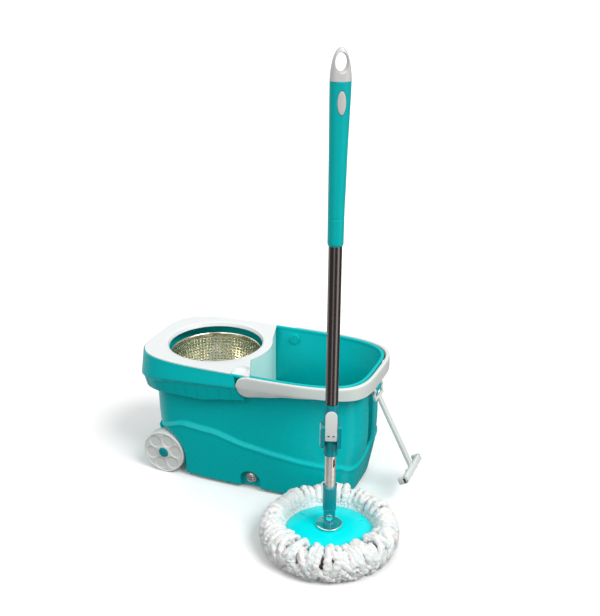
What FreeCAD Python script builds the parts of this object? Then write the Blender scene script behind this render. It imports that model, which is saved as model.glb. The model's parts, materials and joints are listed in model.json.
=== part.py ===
import FreeCAD, Part
import math
import os

# Spin mop: a wheeled wringing bucket with a push-to-spin mop standing in front of it. Millimetres.
# Working frame: X along the bucket, Y towards its back, Z up, origin on the floor under the bucket's middle.
# Every node is shifted at export, so that the whole object's box is centred on the origin and stands on z = 0.

V = FreeCAD.Vector

# ---- bucket: rounded outlines, each (left x, right x, half width, height) ----
SQUARENESS = 4.0
OUTLINE_POINTS = 32
WALL = 2.5
WALL_SECTIONS = (
    (-204.0, 208.0, 104.5, 5.0),
    (-208.0, 219.0, 108.0, 60.0),
    (-212.0, 227.0, 110.0, 110.0),
    (-216.0, 228.0, 112.0, 190.0),
    (-231.0, 231.0, 121.5, 252.0),
)
BASE_Z = WALL_SECTIONS[0][3]
RIM_A, RIM_B = 234.0, 124.5
RIM_LOW, RIM_SEAT, RIM_TOP = 251.9, 254.9, 257.9
SKIRT_SECTIONS = (
    (-237.0, 237.0, 128.0, 170.0),
    (-239.0, 239.0, 130.0, 206.0),
    (-237.0, 237.0, 127.5, 232.0),
    (-RIM_A, RIM_A, RIM_B, RIM_SEAT),
)
SKIRT_A = 239.0
SKIRT_WALL = 2.2
SKIRT_END_X = -15.0
SKIRT_HEM = ((30.0, 208.0), (-78.0, 189.0), (-135.0, 187.0), (-250.0, 176.0))

# ---- spin basket and its deck ----
BASKET_X = -104.8
OPENING_R = 96.0
DECK_THICK = 3.0
DECK_LIP_Z, DECK_LIP_R = 250.5, 93.6
DECK_ARC_R = 115.0
DECK_ARC_HALF = math.radians(28.0)
DECK_BACK_X, DECK_FRONT_X = -27.0, 31.0
SPLASH_FOOT_Z = 140.0
SCOOP_X, SCOOP_Y, SCOOP_R, SCOOP_DEPTH = 2.0, -104.0, 13.0, 7.0
BASKET_RIM_R, BASKET_RIM_Z, BASKET_FLOOR_Z = 92.0, 238.0, 160.0
BASKET_SHEET = 1.0
PERFORATION_R, PERFORATIONS_ROUND, PERFORATION_ROWS = 1.65, 24, (178.0, 196.0, 214.0)
SPINDLE_R, SPINDLE_LOW, SPINDLE_TOP = 4.0, 95.0, 171.0
POST_TOP, POST_FOOT_R, POST_TOP_R = 125.0, 32.0, 13.0
HUB_R, HUB_LOW, HUB_TOP, HUB_FLANGE_R = 14.0, 140.0, 188.0, 34.0
BUSH_R = 7.0

# ---- bail handle ----
PIVOT_X, PIVOT_Z = 20.5, 236.0
BAIL_OUT_A, BAIL_OUT_B = 245.0, 133.5
BAIL_IN_A, BAIL_IN_B = 237.3, 127.2
BAIL_BOSS_R, BAIL_PIN_R = 20.5, 5.0
BAIL_HEM = ((20.5, 215.5), (60.0, 221.5), (108.0, 230.0), (170.0, 235.5), (260.0, 231.0))
BAIL_TOP = 257.8

# ---- tow handle ----
TOW_X, TOW_Z, TOW_ANGLE = 237.0, 217.5, 26.5
TOW_PIN_R, LUG_HALF, LUG_LOW, LUG_TOP, LUG_NOSE = 3.0, 17.0, 205.0, 229.0, 241.0
FORK_IN, FORK_OUT, FORK_DROP, FORK_FORWARD = 18.3, 24.0, 17.5, 4.0
SHAFT_LENGTH, TEE_HALF, TEE_DEEP, TEE_THICK = 159.8, 49.5, 14.0, 9.0

# ---- wheels, feet, drain ----
WHEEL_X, WHEEL_R, WHEEL_FACE, WHEEL_BACK = -176.0, 44.4, 110.0, 86.0
WELL_X, WELL_Z, WELL_R, WELL_FLOOR = -184.0, 40.4, 58.0, 72.0
AXLE_R, AXLE_BOSS_R, AXLE_BOSS_END = 4.0, 11.0, 84.5
FOOT_R, FOOT_X, FOOT_Y = 9.0, 178.0, 66.0
DRAIN_X, DRAIN_Z, DRAIN_FLOOR_Y, DRAIN_FACE_Y = 16.0, 26.0, -97.0, -106.0
DRAIN_ARCH_HALF, DRAIN_ARCH_TOP = 22.0, 43.0
DRAIN_HEAD_R, DRAIN_STEM_R = 12.5, 9.0

# ---- mop: its own frame has the disc's centre on the floor at the origin and the hinge pin along Y ----
MOP_X, MOP_Y, MOP_YAW = 223.8, -222.4, 19.8
LEAN, HINGE_Z = 0.5, 65.3
GRIP_YAW = 14.0
STRAND_R, DISC_R = 129.0, 80.0
SPIGOT_R, SPIGOT_HOLE_R = 7.0, 7.05
TONGUE_R, TONGUE_HALF = 9.3, 5.9
KNUCKLE_R, EAR_IN, EAR_OUT = 10.4, 6.2, 11.0
HINGE_PIN_R = 3.0
SLEEVE_LOW, SLEEVE_TOP, SLEEVE_R = 82.8, 122.0, 12.2
RIVET_Z = 131.0
INNER_R, INNER_BORE, INNER_TOP = 9.5, 8.5, 600.0
OUTER_R, OUTER_BORE, OUTER_LOW, OUTER_TOP = 11.0, 10.1, 262.0, 815.0
COLLAR_LOW, COLLAR_TOP = 188.5, 286.0
CHEEK_LOW, CHEEK_TOP = 209.0, 252.5
BUSH_IN, BUSH_OUT, COLLAR_BORE = 9.55, 11.4, 11.45
LEVER_Y, LEVER_Z, LEVER_HALF = -17.8, 226.5, 10.3
LEVER_TOP = 278.5
TWIST_LEAD, TWIST_WIDE, TWIST_THICK = 100.0, 8.0, 2.0
TWIST_LOW, TWIST_TOP = 300.0, 796.0
NUT_LOW, NUT_THICK, NUT_SLOT = 592.0, 3.0, 3.2
GRIP_LOW, GRIP_SEAM, GRIP_TOP, CAP_TOP = 569.5, 615.5, 829.3, 879.4
GRIP_DRIFT = 2.2
RUNNING = 0.05

SHIFT = V(-(MOP_X + STRAND_R - SKIRT_A) / 2, -(BAIL_OUT_B + MOP_Y - STRAND_R) / 2, 0)


# ---- shape helpers ----
def outline(left, right, half_width, z):
    """Closed outline of the bucket's kind: a rectangle with bowed sides and full round corners."""
    middle, reach = (left + right) / 2, (right - left) / 2
    points = []
    for step in range(OUTLINE_POINTS):
        turn = 2 * math.pi * step / OUTLINE_POINTS
        c, s = math.cos(turn), math.sin(turn)
        pull = (abs(c) ** SQUARENESS + abs(s) ** SQUARENESS) ** (-1 / SQUARENESS)
        points.append(V(middle + reach * c * pull, half_width * s * pull, z))
    curve = Part.BSplineCurve()
    curve.interpolate(points, PeriodicFlag=True)
    return Part.Wire(curve.toShape())


def lofted(sections, inset=0.0):
    wires = [outline(left + inset, right - inset, half - inset, z) for left, right, half, z in sections]
    return Part.makeLoft(wires, True, False)


def slab(a, b, low, high, middle=0.0):
    return Part.Face(outline(middle - a, middle + a, b, low)).extrude(V(0, 0, high - low))


def box(x0, x1, y0, y1, z0, z1):
    return Part.makeBox(x1 - x0, y1 - y0, z1 - z0, V(x0, y0, z0))


def rod(radius, start, end):
    start, end = V(*start), V(*end)
    return Part.makeCylinder(radius, start.distanceToPoint(end), start, end - start)


def ring(outer, inner, low, high, x=0.0, y=0.0):
    return rod(outer, (x, y, low), (x, y, high)).cut(rod(inner, (x, y, low - 1), (x, y, high + 1)))


def plate(points, direction):
    """Flat polygon pushed along a direction."""
    corners = [V(*point) for point in points]
    return Part.Face(Part.makePolygon(corners + corners[:1])).extrude(V(*direction))


def turned(profile, x=0.0, y=0.0):
    """Solid of revolution about the vertical through (x, y), from (radius, height) points."""
    corners = [V(radius, 0, height) for radius, height in profile]
    solid = Part.Face(Part.makePolygon(corners + corners[:1])).revolve(V(0, 0, 0), V(0, 0, 1), 360)
    solid.translate(V(x, y, 0))
    return solid


def facing(shape, side):
    """Lay a shape made along +Z on its side, so that its top faces the front (-1) or the back (+1)."""
    turned_shape = shape.copy()
    turned_shape.rotate(V(0, 0, 0), V(1, 0, 0), -90 * side)
    return turned_shape


def moved(shape, x=0.0, y=0.0, z=0.0):
    copy = shape.copy()
    copy.translate(V(x, y, z))
    return copy


def eased(shape, radius, picks):
    """Round the edges that picks accepts, leaving the shape as it is if the rounding can't be made."""
    try:
        rounded = shape.makeFillet(radius, [edge for edge in shape.Edges if picks(edge)])
        return rounded if rounded.isValid() else shape
    except Exception:
        return shape


# ---- bucket ----
def arch(half, top, y0, y1, x, low=-10.0):
    """Doorway-shaped prism along Y: straight jambs and a half-round head."""
    spring = top - half
    return box(x - half, x + half, y0, y1, low, spring).fuse(rod(half, (x, y0, spring), (x, y1, spring)))


def wheel_well(side, grow=0.0):
    near, far = side * (WELL_FLOOR - grow), side * 150.0
    y0, y1 = min(near, far), max(near, far)
    dome = rod(WELL_R + grow, (WELL_X, y0, WELL_Z), (WELL_X, y1, WELL_Z))
    return dome.fuse(box(-260, WELL_X + WELL_R + grow, y0, y1, -10, WELL_Z))


def post():
    """Hollow cone moulded up from the floor of the bucket, which carries the basket's spindle."""
    outside = Part.makeCone(POST_FOOT_R, POST_TOP_R, POST_TOP - BASE_Z, V(BASKET_X, 0, BASE_Z))
    inside = Part.makeCone(POST_FOOT_R - 3, 7.0, 80.0, V(BASKET_X, 0, BASE_Z - 0.1))
    return outside, inside


def skirt():
    """Apron that hangs from the rim round the basket's end, closed towards the bail by two webs."""
    outside = lofted(SKIRT_SECTIONS)
    shell = outside.cut(lofted(SKIRT_SECTIONS, SKIRT_WALL))
    below = [(x, -200, z) for x, z in SKIRT_HEM] + [(-250, -200, 100), (30, -200, 100)]
    hem = plate(below, (0, 400, 0))
    reach = box(-260, SKIRT_END_X, -200, 200, 100, 300)
    web = outside.cut(lofted(WALL_SECTIONS, 1.0)).common(
        box(SKIRT_END_X - 2.5, SKIRT_END_X, -200, 200, 150, RIM_LOW))
    return shell.common(reach).fuse(web).cut(hem)


def bucket_body():
    post_out, post_in = post()
    cavity_sections = list(WALL_SECTIONS)
    cavity_sections[0] = (*WALL_SECTIONS[0][:3], BASE_Z + WALL)
    cavity = lofted(cavity_sections, WALL)
    top = WALL_SECTIONS[-1]
    cavity = cavity.fuse(slab((top[1] - top[0]) / 2 - WALL, top[2] - WALL, top[3] - 0.5, 270))
    drain_boss = rod(13.0, (DRAIN_X, DRAIN_FLOOR_Y - 1, DRAIN_Z), (DRAIN_X, DRAIN_FLOOR_Y + 11, DRAIN_Z))
    for keep in (wheel_well(-1, WALL), wheel_well(1, WALL), post_out, drain_boss,
                 arch(DRAIN_ARCH_HALF + WALL, DRAIN_ARCH_TOP + WALL, -150, DRAIN_FLOOR_Y + WALL, DRAIN_X)):
        cavity = cavity.cut(keep)
    body = lofted(WALL_SECTIONS).fuse(slab(RIM_A, RIM_B, RIM_LOW, RIM_SEAT))
    bead = slab(RIM_A, RIM_B, RIM_SEAT - 0.1, RIM_TOP).cut(deck_plan(RIM_SEAT - 1, RIM_TOP + 1, 0.4))
    body = body.fuse(bead).fuse(skirt())
    lug = box(215, LUG_NOSE, -LUG_HALF, LUG_HALF, LUG_LOW, LUG_TOP)
    body = body.fuse(eased(lug, 8.0, lambda edge: edge.CenterOfMass.x > LUG_NOSE - 1 and
                           edge.CenterOfMass.z < LUG_LOW + 1))
    for side in (-1, 1):
        body = body.fuse(rod(10.0, (PIVOT_X, side * 112, PIVOT_Z), (PIVOT_X, side * 126.5, PIVOT_Z)))
    body = body.cut(cavity)
    body = body.cut(arch(DRAIN_ARCH_HALF, DRAIN_ARCH_TOP, -150, DRAIN_FLOOR_Y, DRAIN_X))
    for side in (-1, 1):
        body = body.cut(wheel_well(side))
        body = body.fuse(rod(AXLE_BOSS_R, (WHEEL_X, side * (WELL_FLOOR - 1), WHEEL_R),
                             (WHEEL_X, side * AXLE_BOSS_END, WHEEL_R)))
        body = body.cut(rod(AXLE_R, (WHEEL_X, side * 74, WHEEL_R), (WHEEL_X, side * 90, WHEEL_R)))
        body = body.cut(rod(BAIL_PIN_R, (PIVOT_X, side * 120, PIVOT_Z), (PIVOT_X, side * 130, PIVOT_Z)))
        body = body.cut(rod(3.0, (FOOT_X, side * FOOT_Y, 0), (FOOT_X, side * FOOT_Y, BASE_Z + 1.5)))
    body = body.cut(post_in)
    body = body.cut(rod(SPINDLE_R, (BASKET_X, 0, SPINDLE_LOW), (BASKET_X, 0, POST_TOP + 1)))
    body = body.cut(rod(DRAIN_STEM_R + RUNNING, (DRAIN_X, -120, DRAIN_Z), (DRAIN_X, -80, DRAIN_Z)))
    body = body.cut(rod(TOW_PIN_R, (TOW_X, -30, TOW_Z), (TOW_X, 30, TOW_Z)))
    return body.removeSplitter()


def bail_pivots():
    return [rod(BAIL_PIN_R, (PIVOT_X, side * 120.2, PIVOT_Z), (PIVOT_X, side * 131.9, PIVOT_Z))
            for side in (-1, 1)]


def axle_pins():
    return [rod(AXLE_R, (WHEEL_X, side * 74.2, WHEEL_R), (WHEEL_X, side * 107, WHEEL_R)) for side in (-1, 1)]


def axle_clips():
    """Push-on washers that keep the wheels on their pins."""
    clip = ring(7.0, AXLE_R, 105.2, 106.7)
    return [moved(facing(clip, side), WHEEL_X, 0, WHEEL_R) for side in (-1, 1)]


def rubber_feet():
    return [rod(FOOT_R, (FOOT_X, side * FOOT_Y, 0), (FOOT_X, side * FOOT_Y, BASE_Z)).fuse(
        rod(3.0, (FOOT_X, side * FOOT_Y, BASE_Z - 1), (FOOT_X, side * FOOT_Y, BASE_Z + 1.4)))
        for side in (-1, 1)]


def wheel(side):
    face, hub_end = WHEEL_FACE, 105.0
    profile = [
        (AXLE_R + RUNNING, WHEEL_BACK), (AXLE_BOSS_R, WHEEL_BACK), (AXLE_BOSS_R, 101.0), (38.0, 101.0),
        (39.5, WHEEL_BACK), (43.4, WHEEL_BACK), (WHEEL_R, WHEEL_BACK + 1), (WHEEL_R, face - 3),
        (43.0, face - 0.8), (41.0, face - 0.4), (40.0, face - 1.2), (15.3, face - 1.2), (12.8, face),
        (10.6, face), (10.6, hub_end), (AXLE_R + RUNNING, hub_end),
    ]
    return moved(facing(turned(profile), side), WHEEL_X, 0, WHEEL_R)


def wheel_cap(side):
    dome = turned([(0, 107.6), (10.6, 107.6), (10.6, 110.2), (8.8, 111.2), (0, 111.6)])
    return moved(facing(dome, side), WHEEL_X, 0, WHEEL_R)


def tow_pivot_pin():
    return rod(TOW_PIN_R, (TOW_X, -25.0, TOW_Z), (TOW_X, 25.0, TOW_Z))


def drain_plug():
    """Screw plug with a grip bar across its face; the thread is left plain."""
    head = rod(DRAIN_HEAD_R, (DRAIN_X, DRAIN_FACE_Y + 2.5, DRAIN_Z), (DRAIN_X, DRAIN_FLOOR_Y - 1.4, DRAIN_Z))
    bar = box(DRAIN_X - 10, DRAIN_X + 10, DRAIN_FACE_Y, DRAIN_FACE_Y + 3, DRAIN_Z - 2.2, DRAIN_Z + 2.2)
    stem = rod(DRAIN_STEM_R, (DRAIN_X, DRAIN_FLOOR_Y - 2, DRAIN_Z), (DRAIN_X, DRAIN_FLOOR_Y + 12, DRAIN_Z))
    return head.fuse(bar).fuse(stem).removeSplitter()


def drain_seal():
    start, end = (DRAIN_X, DRAIN_FLOOR_Y - 1.35, DRAIN_Z), (DRAIN_X, DRAIN_FLOOR_Y - 0.05, DRAIN_Z)
    return rod(12.0, start, end).cut(rod(DRAIN_STEM_R + RUNNING, start, end))


# ---- deck, basket and spindle ----
def deck_plan(low, high, grow=0.0):
    """Prism over the deck's plan: straight at the front and back, bulging round the basket between them."""
    radius = DECK_ARC_R + grow
    dx, dy = radius * math.cos(DECK_ARC_HALF), radius * math.sin(DECK_ARC_HALF)
    front, back = V(BASKET_X + dx, -dy, low), V(BASKET_X + dx, dy, low)
    corners = [back, V(DECK_BACK_X + grow, 135, low), V(-260, 135, low), V(-260, -135, low),
               V(DECK_FRONT_X + grow, -135, low), front]
    edges = [Part.makeLine(a, b) for a, b in zip(corners, corners[1:])]
    edges.append(Part.Arc(front, V(BASKET_X + radius, 0, low), back).toShape())
    return Part.Face(Part.Wire(Part.__sortEdges__(edges))).extrude(V(0, 0, high - low))


def basket_deck():
    plan = deck_plan(RIM_SEAT, RIM_SEAT + DECK_THICK)
    deck = slab(RIM_A, RIM_B, RIM_SEAT, RIM_SEAT + DECK_THICK).common(plan)
    splash = deck_plan(SPLASH_FOOT_Z, RIM_SEAT + 1).cut(moved(deck_plan(0, 300), x=-WALL))
    deck = deck.fuse(splash.common(lofted(WALL_SECTIONS, WALL + 1.2).fuse(
        slab(230 - WALL, 121.5 - WALL - 1.2, 250, RIM_SEAT + 1))))
    tray = rod(SCOOP_R + 2, (SCOOP_X, SCOOP_Y + 2, RIM_SEAT - SCOOP_DEPTH), (SCOOP_X, SCOOP_Y + 2, RIM_SEAT + 1))
    deck = deck.fuse(tray.common(slab(230 - WALL, 121.5 - WALL - 1.2, 240, RIM_SEAT + 1)))
    deck = deck.cut(rod(SCOOP_R, (SCOOP_X, SCOOP_Y, RIM_TOP - SCOOP_DEPTH), (SCOOP_X, SCOOP_Y, RIM_TOP + 1)))
    lip = turned([(OPENING_R, RIM_TOP), (DECK_LIP_R, DECK_LIP_Z), (DECK_LIP_R + 2.4, DECK_LIP_Z),
                  (OPENING_R + 3, RIM_SEAT), (OPENING_R + 3, RIM_TOP)], BASKET_X)
    mouth = rod(OPENING_R + 2, (BASKET_X, 0, 200), (BASKET_X, 0, 300))
    return deck.cut(mouth).fuse(lip)


def spin_basket():
    t, floor, rim = BASKET_SHEET, BASKET_FLOOR_Z, BASKET_RIM_R
    profile = [
        (HUB_R + 0.1, floor), (74.0, floor), (79.0, floor + 1.5), (82.0, floor + 6), (88.5, 232.0),
        (rim, 235.5), (rim, BASKET_RIM_Z + 1.5), (rim - 1.6, BASKET_RIM_Z + 2.6), (rim - 3.6, BASKET_RIM_Z + 2.2),
        (87.4, 233.0), (82.0 - t, floor + 6.3), (78.4, floor + 2.4), (73.8, floor + t), (HUB_R + 0.1, floor + t),
    ]
    basket = turned(profile, BASKET_X)
    holes = []
    for height in PERFORATION_ROWS:
        for step in range(PERFORATIONS_ROUND):
            turn = 2 * math.pi * step / PERFORATIONS_ROUND
            aim = (BASKET_X + 100 * math.cos(turn), 100 * math.sin(turn), height)
            start = (BASKET_X + 60 * math.cos(turn), 60 * math.sin(turn), height)
            holes.append(rod(PERFORATION_R, start, aim))
    for step in range(4):
        turn = math.pi / 4 + math.pi / 2 * step
        x, y = BASKET_X + 26 * math.cos(turn), 26 * math.sin(turn)
        holes.append(rod(2.0, (x, y, floor - 2), (x, y, floor + 3)))
    return basket.cut(Part.makeCompound(holes))


def basket_hub():
    hub = turned([(0, 173), (BUSH_R, 173), (BUSH_R, HUB_LOW), (11.0, HUB_LOW), (11.0, 150), (HUB_FLANGE_R, 156),
                  (HUB_FLANGE_R, BASKET_FLOOR_Z), (HUB_R, BASKET_FLOOR_Z), (HUB_R, HUB_TOP - 3),
                  (HUB_R - 3, HUB_TOP), (0, HUB_TOP)], BASKET_X)
    for step in range(4):
        turn = math.pi / 4 + math.pi / 2 * step
        x, y = BASKET_X + 26 * math.cos(turn), 26 * math.sin(turn)
        hub = hub.cut(rod(1.5, (x, y, 155.5), (x, y, 161)))
    return hub


def hub_screws():
    screws = []
    for step in range(4):
        turn = math.pi / 4 + math.pi / 2 * step
        x, y = BASKET_X + 26 * math.cos(turn), 26 * math.sin(turn)
        top = BASKET_FLOOR_Z + BASKET_SHEET
        screws.append(rod(3.5, (x, y, top), (x, y, top + 1.8)).fuse(rod(1.5, (x, y, 155.6), (x, y, top + 0.5))))
    return screws


def spindle_bush():
    return ring(BUSH_R, SPINDLE_R + RUNNING, HUB_LOW + 0.1, 171.8, BASKET_X)


def basket_spindle():
    pin = rod(SPINDLE_R, (BASKET_X, 0, SPINDLE_LOW), (BASKET_X, 0, SPINDLE_TOP))
    return pin.fuse(rod(6.8, (BASKET_X, 0, POST_TOP), (BASKET_X, 0, HUB_LOW - 0.2)))


# ---- handles ----
def bail_handle():
    """Flat band that wraps the tub's end, deepest at its two pivot bosses."""
    band = slab(BAIL_OUT_A, BAIL_OUT_B, 200, BAIL_TOP).cut(slab(BAIL_IN_A, BAIL_IN_B, 190, 270))
    below = [(x, -200, z) for x, z in BAIL_HEM] + [(260, -200, 150), (20.5, -200, 150)]
    band = band.common(box(PIVOT_X, 300, -200, 200, 190, 270)).cut(plate(below, (0, 400, 0)))
    for side in (-1, 1):
        band = band.fuse(rod(BAIL_BOSS_R, (PIVOT_X, side * 126.9, PIVOT_Z),
                             (PIVOT_X, side * (BAIL_OUT_B - 0.1), PIVOT_Z)))
    for side in (-1, 1):
        band = band.cut(rod(BAIL_PIN_R + RUNNING, (PIVOT_X, side * 120, PIVOT_Z),
                            (PIVOT_X, side * 132.2, PIVOT_Z)))
    return band.removeSplitter()


def tow_handle():
    """Fork over the lug, slim shaft slanting out from it, and a flat T-bar with both ends hooked back."""
    low, forward = TOW_Z - FORK_DROP, TOW_X + FORK_FORWARD
    handle = rod(2.7, (forward, -FORK_OUT + 1.5, low), (forward, FORK_OUT - 1.5, low))
    for side in (-1, 1):
        near, far = side * FORK_IN, side * FORK_OUT
        arm = plate([(TOW_X - 2.9, near, TOW_Z), (TOW_X + 2.9, near, TOW_Z), (forward + 2.7, near, low + 1),
                     (forward + 1.5, near, low - 2.2), (forward - 1.5, near, low - 2.2),
                     (forward - 2.7, near, low + 1)], (0, far - near, 0))
        handle = handle.fuse(arm).fuse(rod(5.8, (TOW_X, near, TOW_Z), (TOW_X, far, TOW_Z)))
    foot = SHAFT_LENGTH + TEE_DEEP / 2
    shaft = box(-3.2, 3.2, -6.5, 6.5, -SHAFT_LENGTH, 0)
    tee = box(-TEE_THICK / 2, TEE_THICK / 2, -TEE_HALF, TEE_HALF, -foot, -foot + TEE_DEEP)
    for side in (-1, 1):
        y0, y1 = min(side * 43.0, side * TEE_HALF), max(side * 43.0, side * TEE_HALF)
        tee = tee.fuse(box(-14.0, 0, y0, y1, -foot, -foot + TEE_DEEP))
    tee = eased(tee.removeSplitter(), 2.0, lambda edge: True)
    shank = shaft.fuse(tee)
    shank.rotate(V(0, 0, 0), V(0, 1, 0), -TOW_ANGLE)
    handle = handle.fuse(moved(shank, forward + 1.0, 0, low - 1.5))
    return handle.cut(rod(TOW_PIN_R + RUNNING, (TOW_X, -30, TOW_Z), (TOW_X, 30, TOW_Z))).removeSplitter()


# ---- mop head ----
def mop_disc():
    return turned([
        (SPIGOT_HOLE_R, 41.8), (24.0, 41.8), (48.0, 40.0), (68.0, 36.0), (78.0, 32.4), (DISC_R, 29.5),
        (79.4, 27.2), (77.2, 27.2), (76.6, 30.0), (67.0, 33.4), (49.5, 37.0), (49.5, 20.0), (46.5, 20.0),
        (46.5, 37.4), (24.0, 39.0), (16.0, 39.0), (16.0, 24.5), (SPIGOT_HOLE_R, 24.5)])


def mop_strands():
    """Closed stand-in for the whole skirt of loops, with a rebate for the ring that they are sewn to."""
    return turned([(0, 0), (111, 0), (121, 5), (STRAND_R - 2, 15), (STRAND_R, 27), (STRAND_R - 2, 39), (121, 49),
                   (112, 55.5), (102, 58), (92, 56), (86, 50), (82.5, 42), (81.2, 34), (81.0, 26.6), (69.5, 26.6),
                   (69.5, 18.8), (0, 18.8)])


def strand_ring():
    return ring(69.0, 50.0, 19.0, 26.8)


def disc_bearing():
    return ring(19.0, SPIGOT_HOLE_R + 1, 41.8, 44.1)


def washer_plate():
    return turned([(7.2, 44.3), (21.0, 44.3), (23.7, 45.4), (23.7, 46.6), (22.4, 47.2), (20.5, 46.3), (7.2, 46.1)])


def swivel_foot():
    foot = rod(SPIGOT_R, (0, 0, 24.2), (0, 0, 50))
    tongue = box(-TONGUE_R, TONGUE_R, -TONGUE_HALF, TONGUE_HALF, 46.3, HINGE_Z)
    eye = rod(TONGUE_R, (0, -TONGUE_HALF, HINGE_Z), (0, TONGUE_HALF, HINGE_Z))
    foot = foot.fuse(tongue).fuse(eye)
    foot = foot.cut(rod(HINGE_PIN_R + RUNNING, (0, -20, HINGE_Z), (0, 20, HINGE_Z)))
    return foot.cut(rod(2.0, (0, 0, 20), (0, 0, 40))).removeSplitter()


def foot_screw():
    return rod(10.0, (0, 0, 21.5), (0, 0, 24.1)).fuse(rod(2.0, (0, 0, 23), (0, 0, 39.5)))


# ---- pole ----
def yoke():
    fork = rod(12.0, (0, 0, HINGE_Z + 10.6), (0, 0, SLEEVE_LOW - 0.2))
    for side in (-1, 1):
        low, high = min(side * EAR_IN, side * EAR_OUT), max(side * EAR_IN, side * EAR_OUT)
        ear = box(-KNUCKLE_R, KNUCKLE_R, low, high, HINGE_Z, HINGE_Z + 14).common(rod(14.2, (0, 0, 50), (0, 0, 90)))
        fork = fork.fuse(ear)
        fork = fork.fuse(rod(KNUCKLE_R, (0, low, HINGE_Z), (0, high, HINGE_Z)))
    fork = fork.fuse(rod(8.3, (0, 0, SLEEVE_LOW - 1), (0, 0, RIVET_Z + 7)))
    fork = fork.cut(rod(HINGE_PIN_R, (0, -20, HINGE_Z), (0, 20, HINGE_Z)))
    return fork.cut(rod(1.6, (0, -20, RIVET_Z), (0, 20, RIVET_Z))).removeSplitter()


def hinge_pin():
    pin = rod(HINGE_PIN_R, (0, -12, HINGE_Z), (0, 12, HINGE_Z))
    for side in (-1, 1):
        pin = pin.fuse(rod(6.0, (0, side * EAR_OUT, HINGE_Z), (0, side * 13.2, HINGE_Z)))
    return pin


def socket_sleeve():
    """Sleeve over the foot of the inner tube; its mouth stands higher at both sides than in front."""
    crown = 6.0
    sleeve = turned([(INNER_R, SLEEVE_LOW), (SLEEVE_R - 0.4, SLEEVE_LOW), (SLEEVE_R, SLEEVE_LOW + 1),
                     (SLEEVE_R, SLEEVE_TOP - 4), (SLEEVE_R + 0.5, SLEEVE_TOP + crown), (INNER_R, SLEEVE_TOP + crown)])
    reach = SLEEVE_R + 1
    dip = plate([(-reach, -20, SLEEVE_TOP + crown + 1), (-reach, -20, SLEEVE_TOP + crown),
                 (-reach * 0.5, -20, SLEEVE_TOP + 1.2), (0, -20, SLEEVE_TOP), (reach * 0.5, -20, SLEEVE_TOP + 1.2),
                 (reach, -20, SLEEVE_TOP + crown), (reach, -20, SLEEVE_TOP + crown + 1)], (0, 40, 0))
    return sleeve.cut(dip)


def inner_tube():
    tube = ring(INNER_R, INNER_BORE, SLEEVE_LOW + 0.2, INNER_TOP)
    return tube.cut(rod(1.6, (0, -20, RIVET_Z), (0, 20, RIVET_Z)))


def drive_nut():
    """Plate in the top of the inner tube whose slot the twisted strip screws through."""
    nut = rod(INNER_BORE, (0, 0, NUT_LOW), (0, 0, NUT_LOW + NUT_THICK))
    half_slot = TWIST_WIDE / 2 + 0.5
    slot = box(-half_slot, half_slot, -NUT_SLOT / 2, NUT_SLOT / 2, NUT_LOW - 1, NUT_LOW + NUT_THICK + 1)
    return nut.cut(slot)


def tube_rivet():
    rivet = rod(1.6, (0, -INNER_R - 0.4, RIVET_Z), (0, INNER_R + 0.4, RIVET_Z))
    for side in (-1, 1):
        start, end = (0, side * INNER_R, RIVET_Z), (0, side * (INNER_R + 0.7), RIVET_Z)
        rivet = rivet.fuse(rod(2.4, start, end))
    return rivet.removeSplitter()


def guide_bush():
    return ring(BUSH_OUT, BUSH_IN, COLLAR_LOW + 5.3, OUTER_LOW - 1)


def twist_rod():
    """Flat steel strip twisted about the pole's axis; its phase puts it square in the nut's slot at rest."""
    sections = []
    steps = int((TWIST_TOP - TWIST_LOW) / TWIST_LEAD * 12)
    for step in range(steps + 1):
        z = TWIST_LOW + (TWIST_TOP - TWIST_LOW) * step / steps
        turn = 2 * math.pi * (z - NUT_LOW - NUT_THICK / 2) / TWIST_LEAD
        along = V(math.cos(turn), math.sin(turn), 0) * (TWIST_WIDE / 2)
        across = V(-math.sin(turn), math.cos(turn), 0) * (TWIST_THICK / 2)
        corners = [along + across, along * -1 + across, along * -1 - across, along - across]
        corners = [corner + V(0, 0, z) for corner in corners]
        sections.append(Part.makePolygon(corners + corners[:1]))
    return Part.makeLoft(sections, True, True)


def rod_anchor():
    return rod(OUTER_BORE, (0, 0, TWIST_TOP), (0, 0, 812))


def outer_tube():
    return ring(OUTER_R, OUTER_BORE, OUTER_LOW, OUTER_TOP)


def lock_collar():
    """Clamp collar: cone below, barrel with two cheeks for the lever, neck over the tube's end above."""
    floor = COLLAR_LOW + 3.3
    collar = turned([(COLLAR_BORE, floor), (COLLAR_BORE, OUTER_LOW), (OUTER_R, OUTER_LOW), (OUTER_R, COLLAR_TOP),
                     (12.4, COLLAR_TOP), (12.3, CHEEK_TOP + 4), (14.2, CHEEK_TOP), (14.2, CHEEK_LOW), (12.6, 203.0),
                     (12.4, 197.0), (12.9, COLLAR_LOW), (9.9, COLLAR_LOW), (9.9, floor)])
    barrel = rod(COLLAR_BORE + 0.01, (0, 0, floor), (0, 0, OUTER_LOW))
    for side in (-1, 1):
        near, far = side * 10.7, side * 17.5
        cheek = box(min(near, far), max(near, far), -22, 3, CHEEK_LOW, CHEEK_TOP)
        cheek = eased(cheek, 5.0, lambda edge: abs(edge.tangentAt(edge.FirstParameter).x) > 0.9)
        collar = collar.fuse(cheek.cut(barrel))
    return collar.cut(rod(2.0, (-30, LEVER_Y, LEVER_Z), (30, LEVER_Y, LEVER_Z))).removeSplitter()


def collar_cap():
    cap = box(-19.4, -17.5, -19, 1, CHEEK_LOW + 3, CHEEK_TOP - 3)
    return eased(cap, 5.0, lambda edge: abs(edge.tangentAt(edge.FirstParameter).x) > 0.9)


def lever_pin():
    return rod(2.0, (-17.4, LEVER_Y, LEVER_Z), (17.4, LEVER_Y, LEVER_Z))


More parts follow.
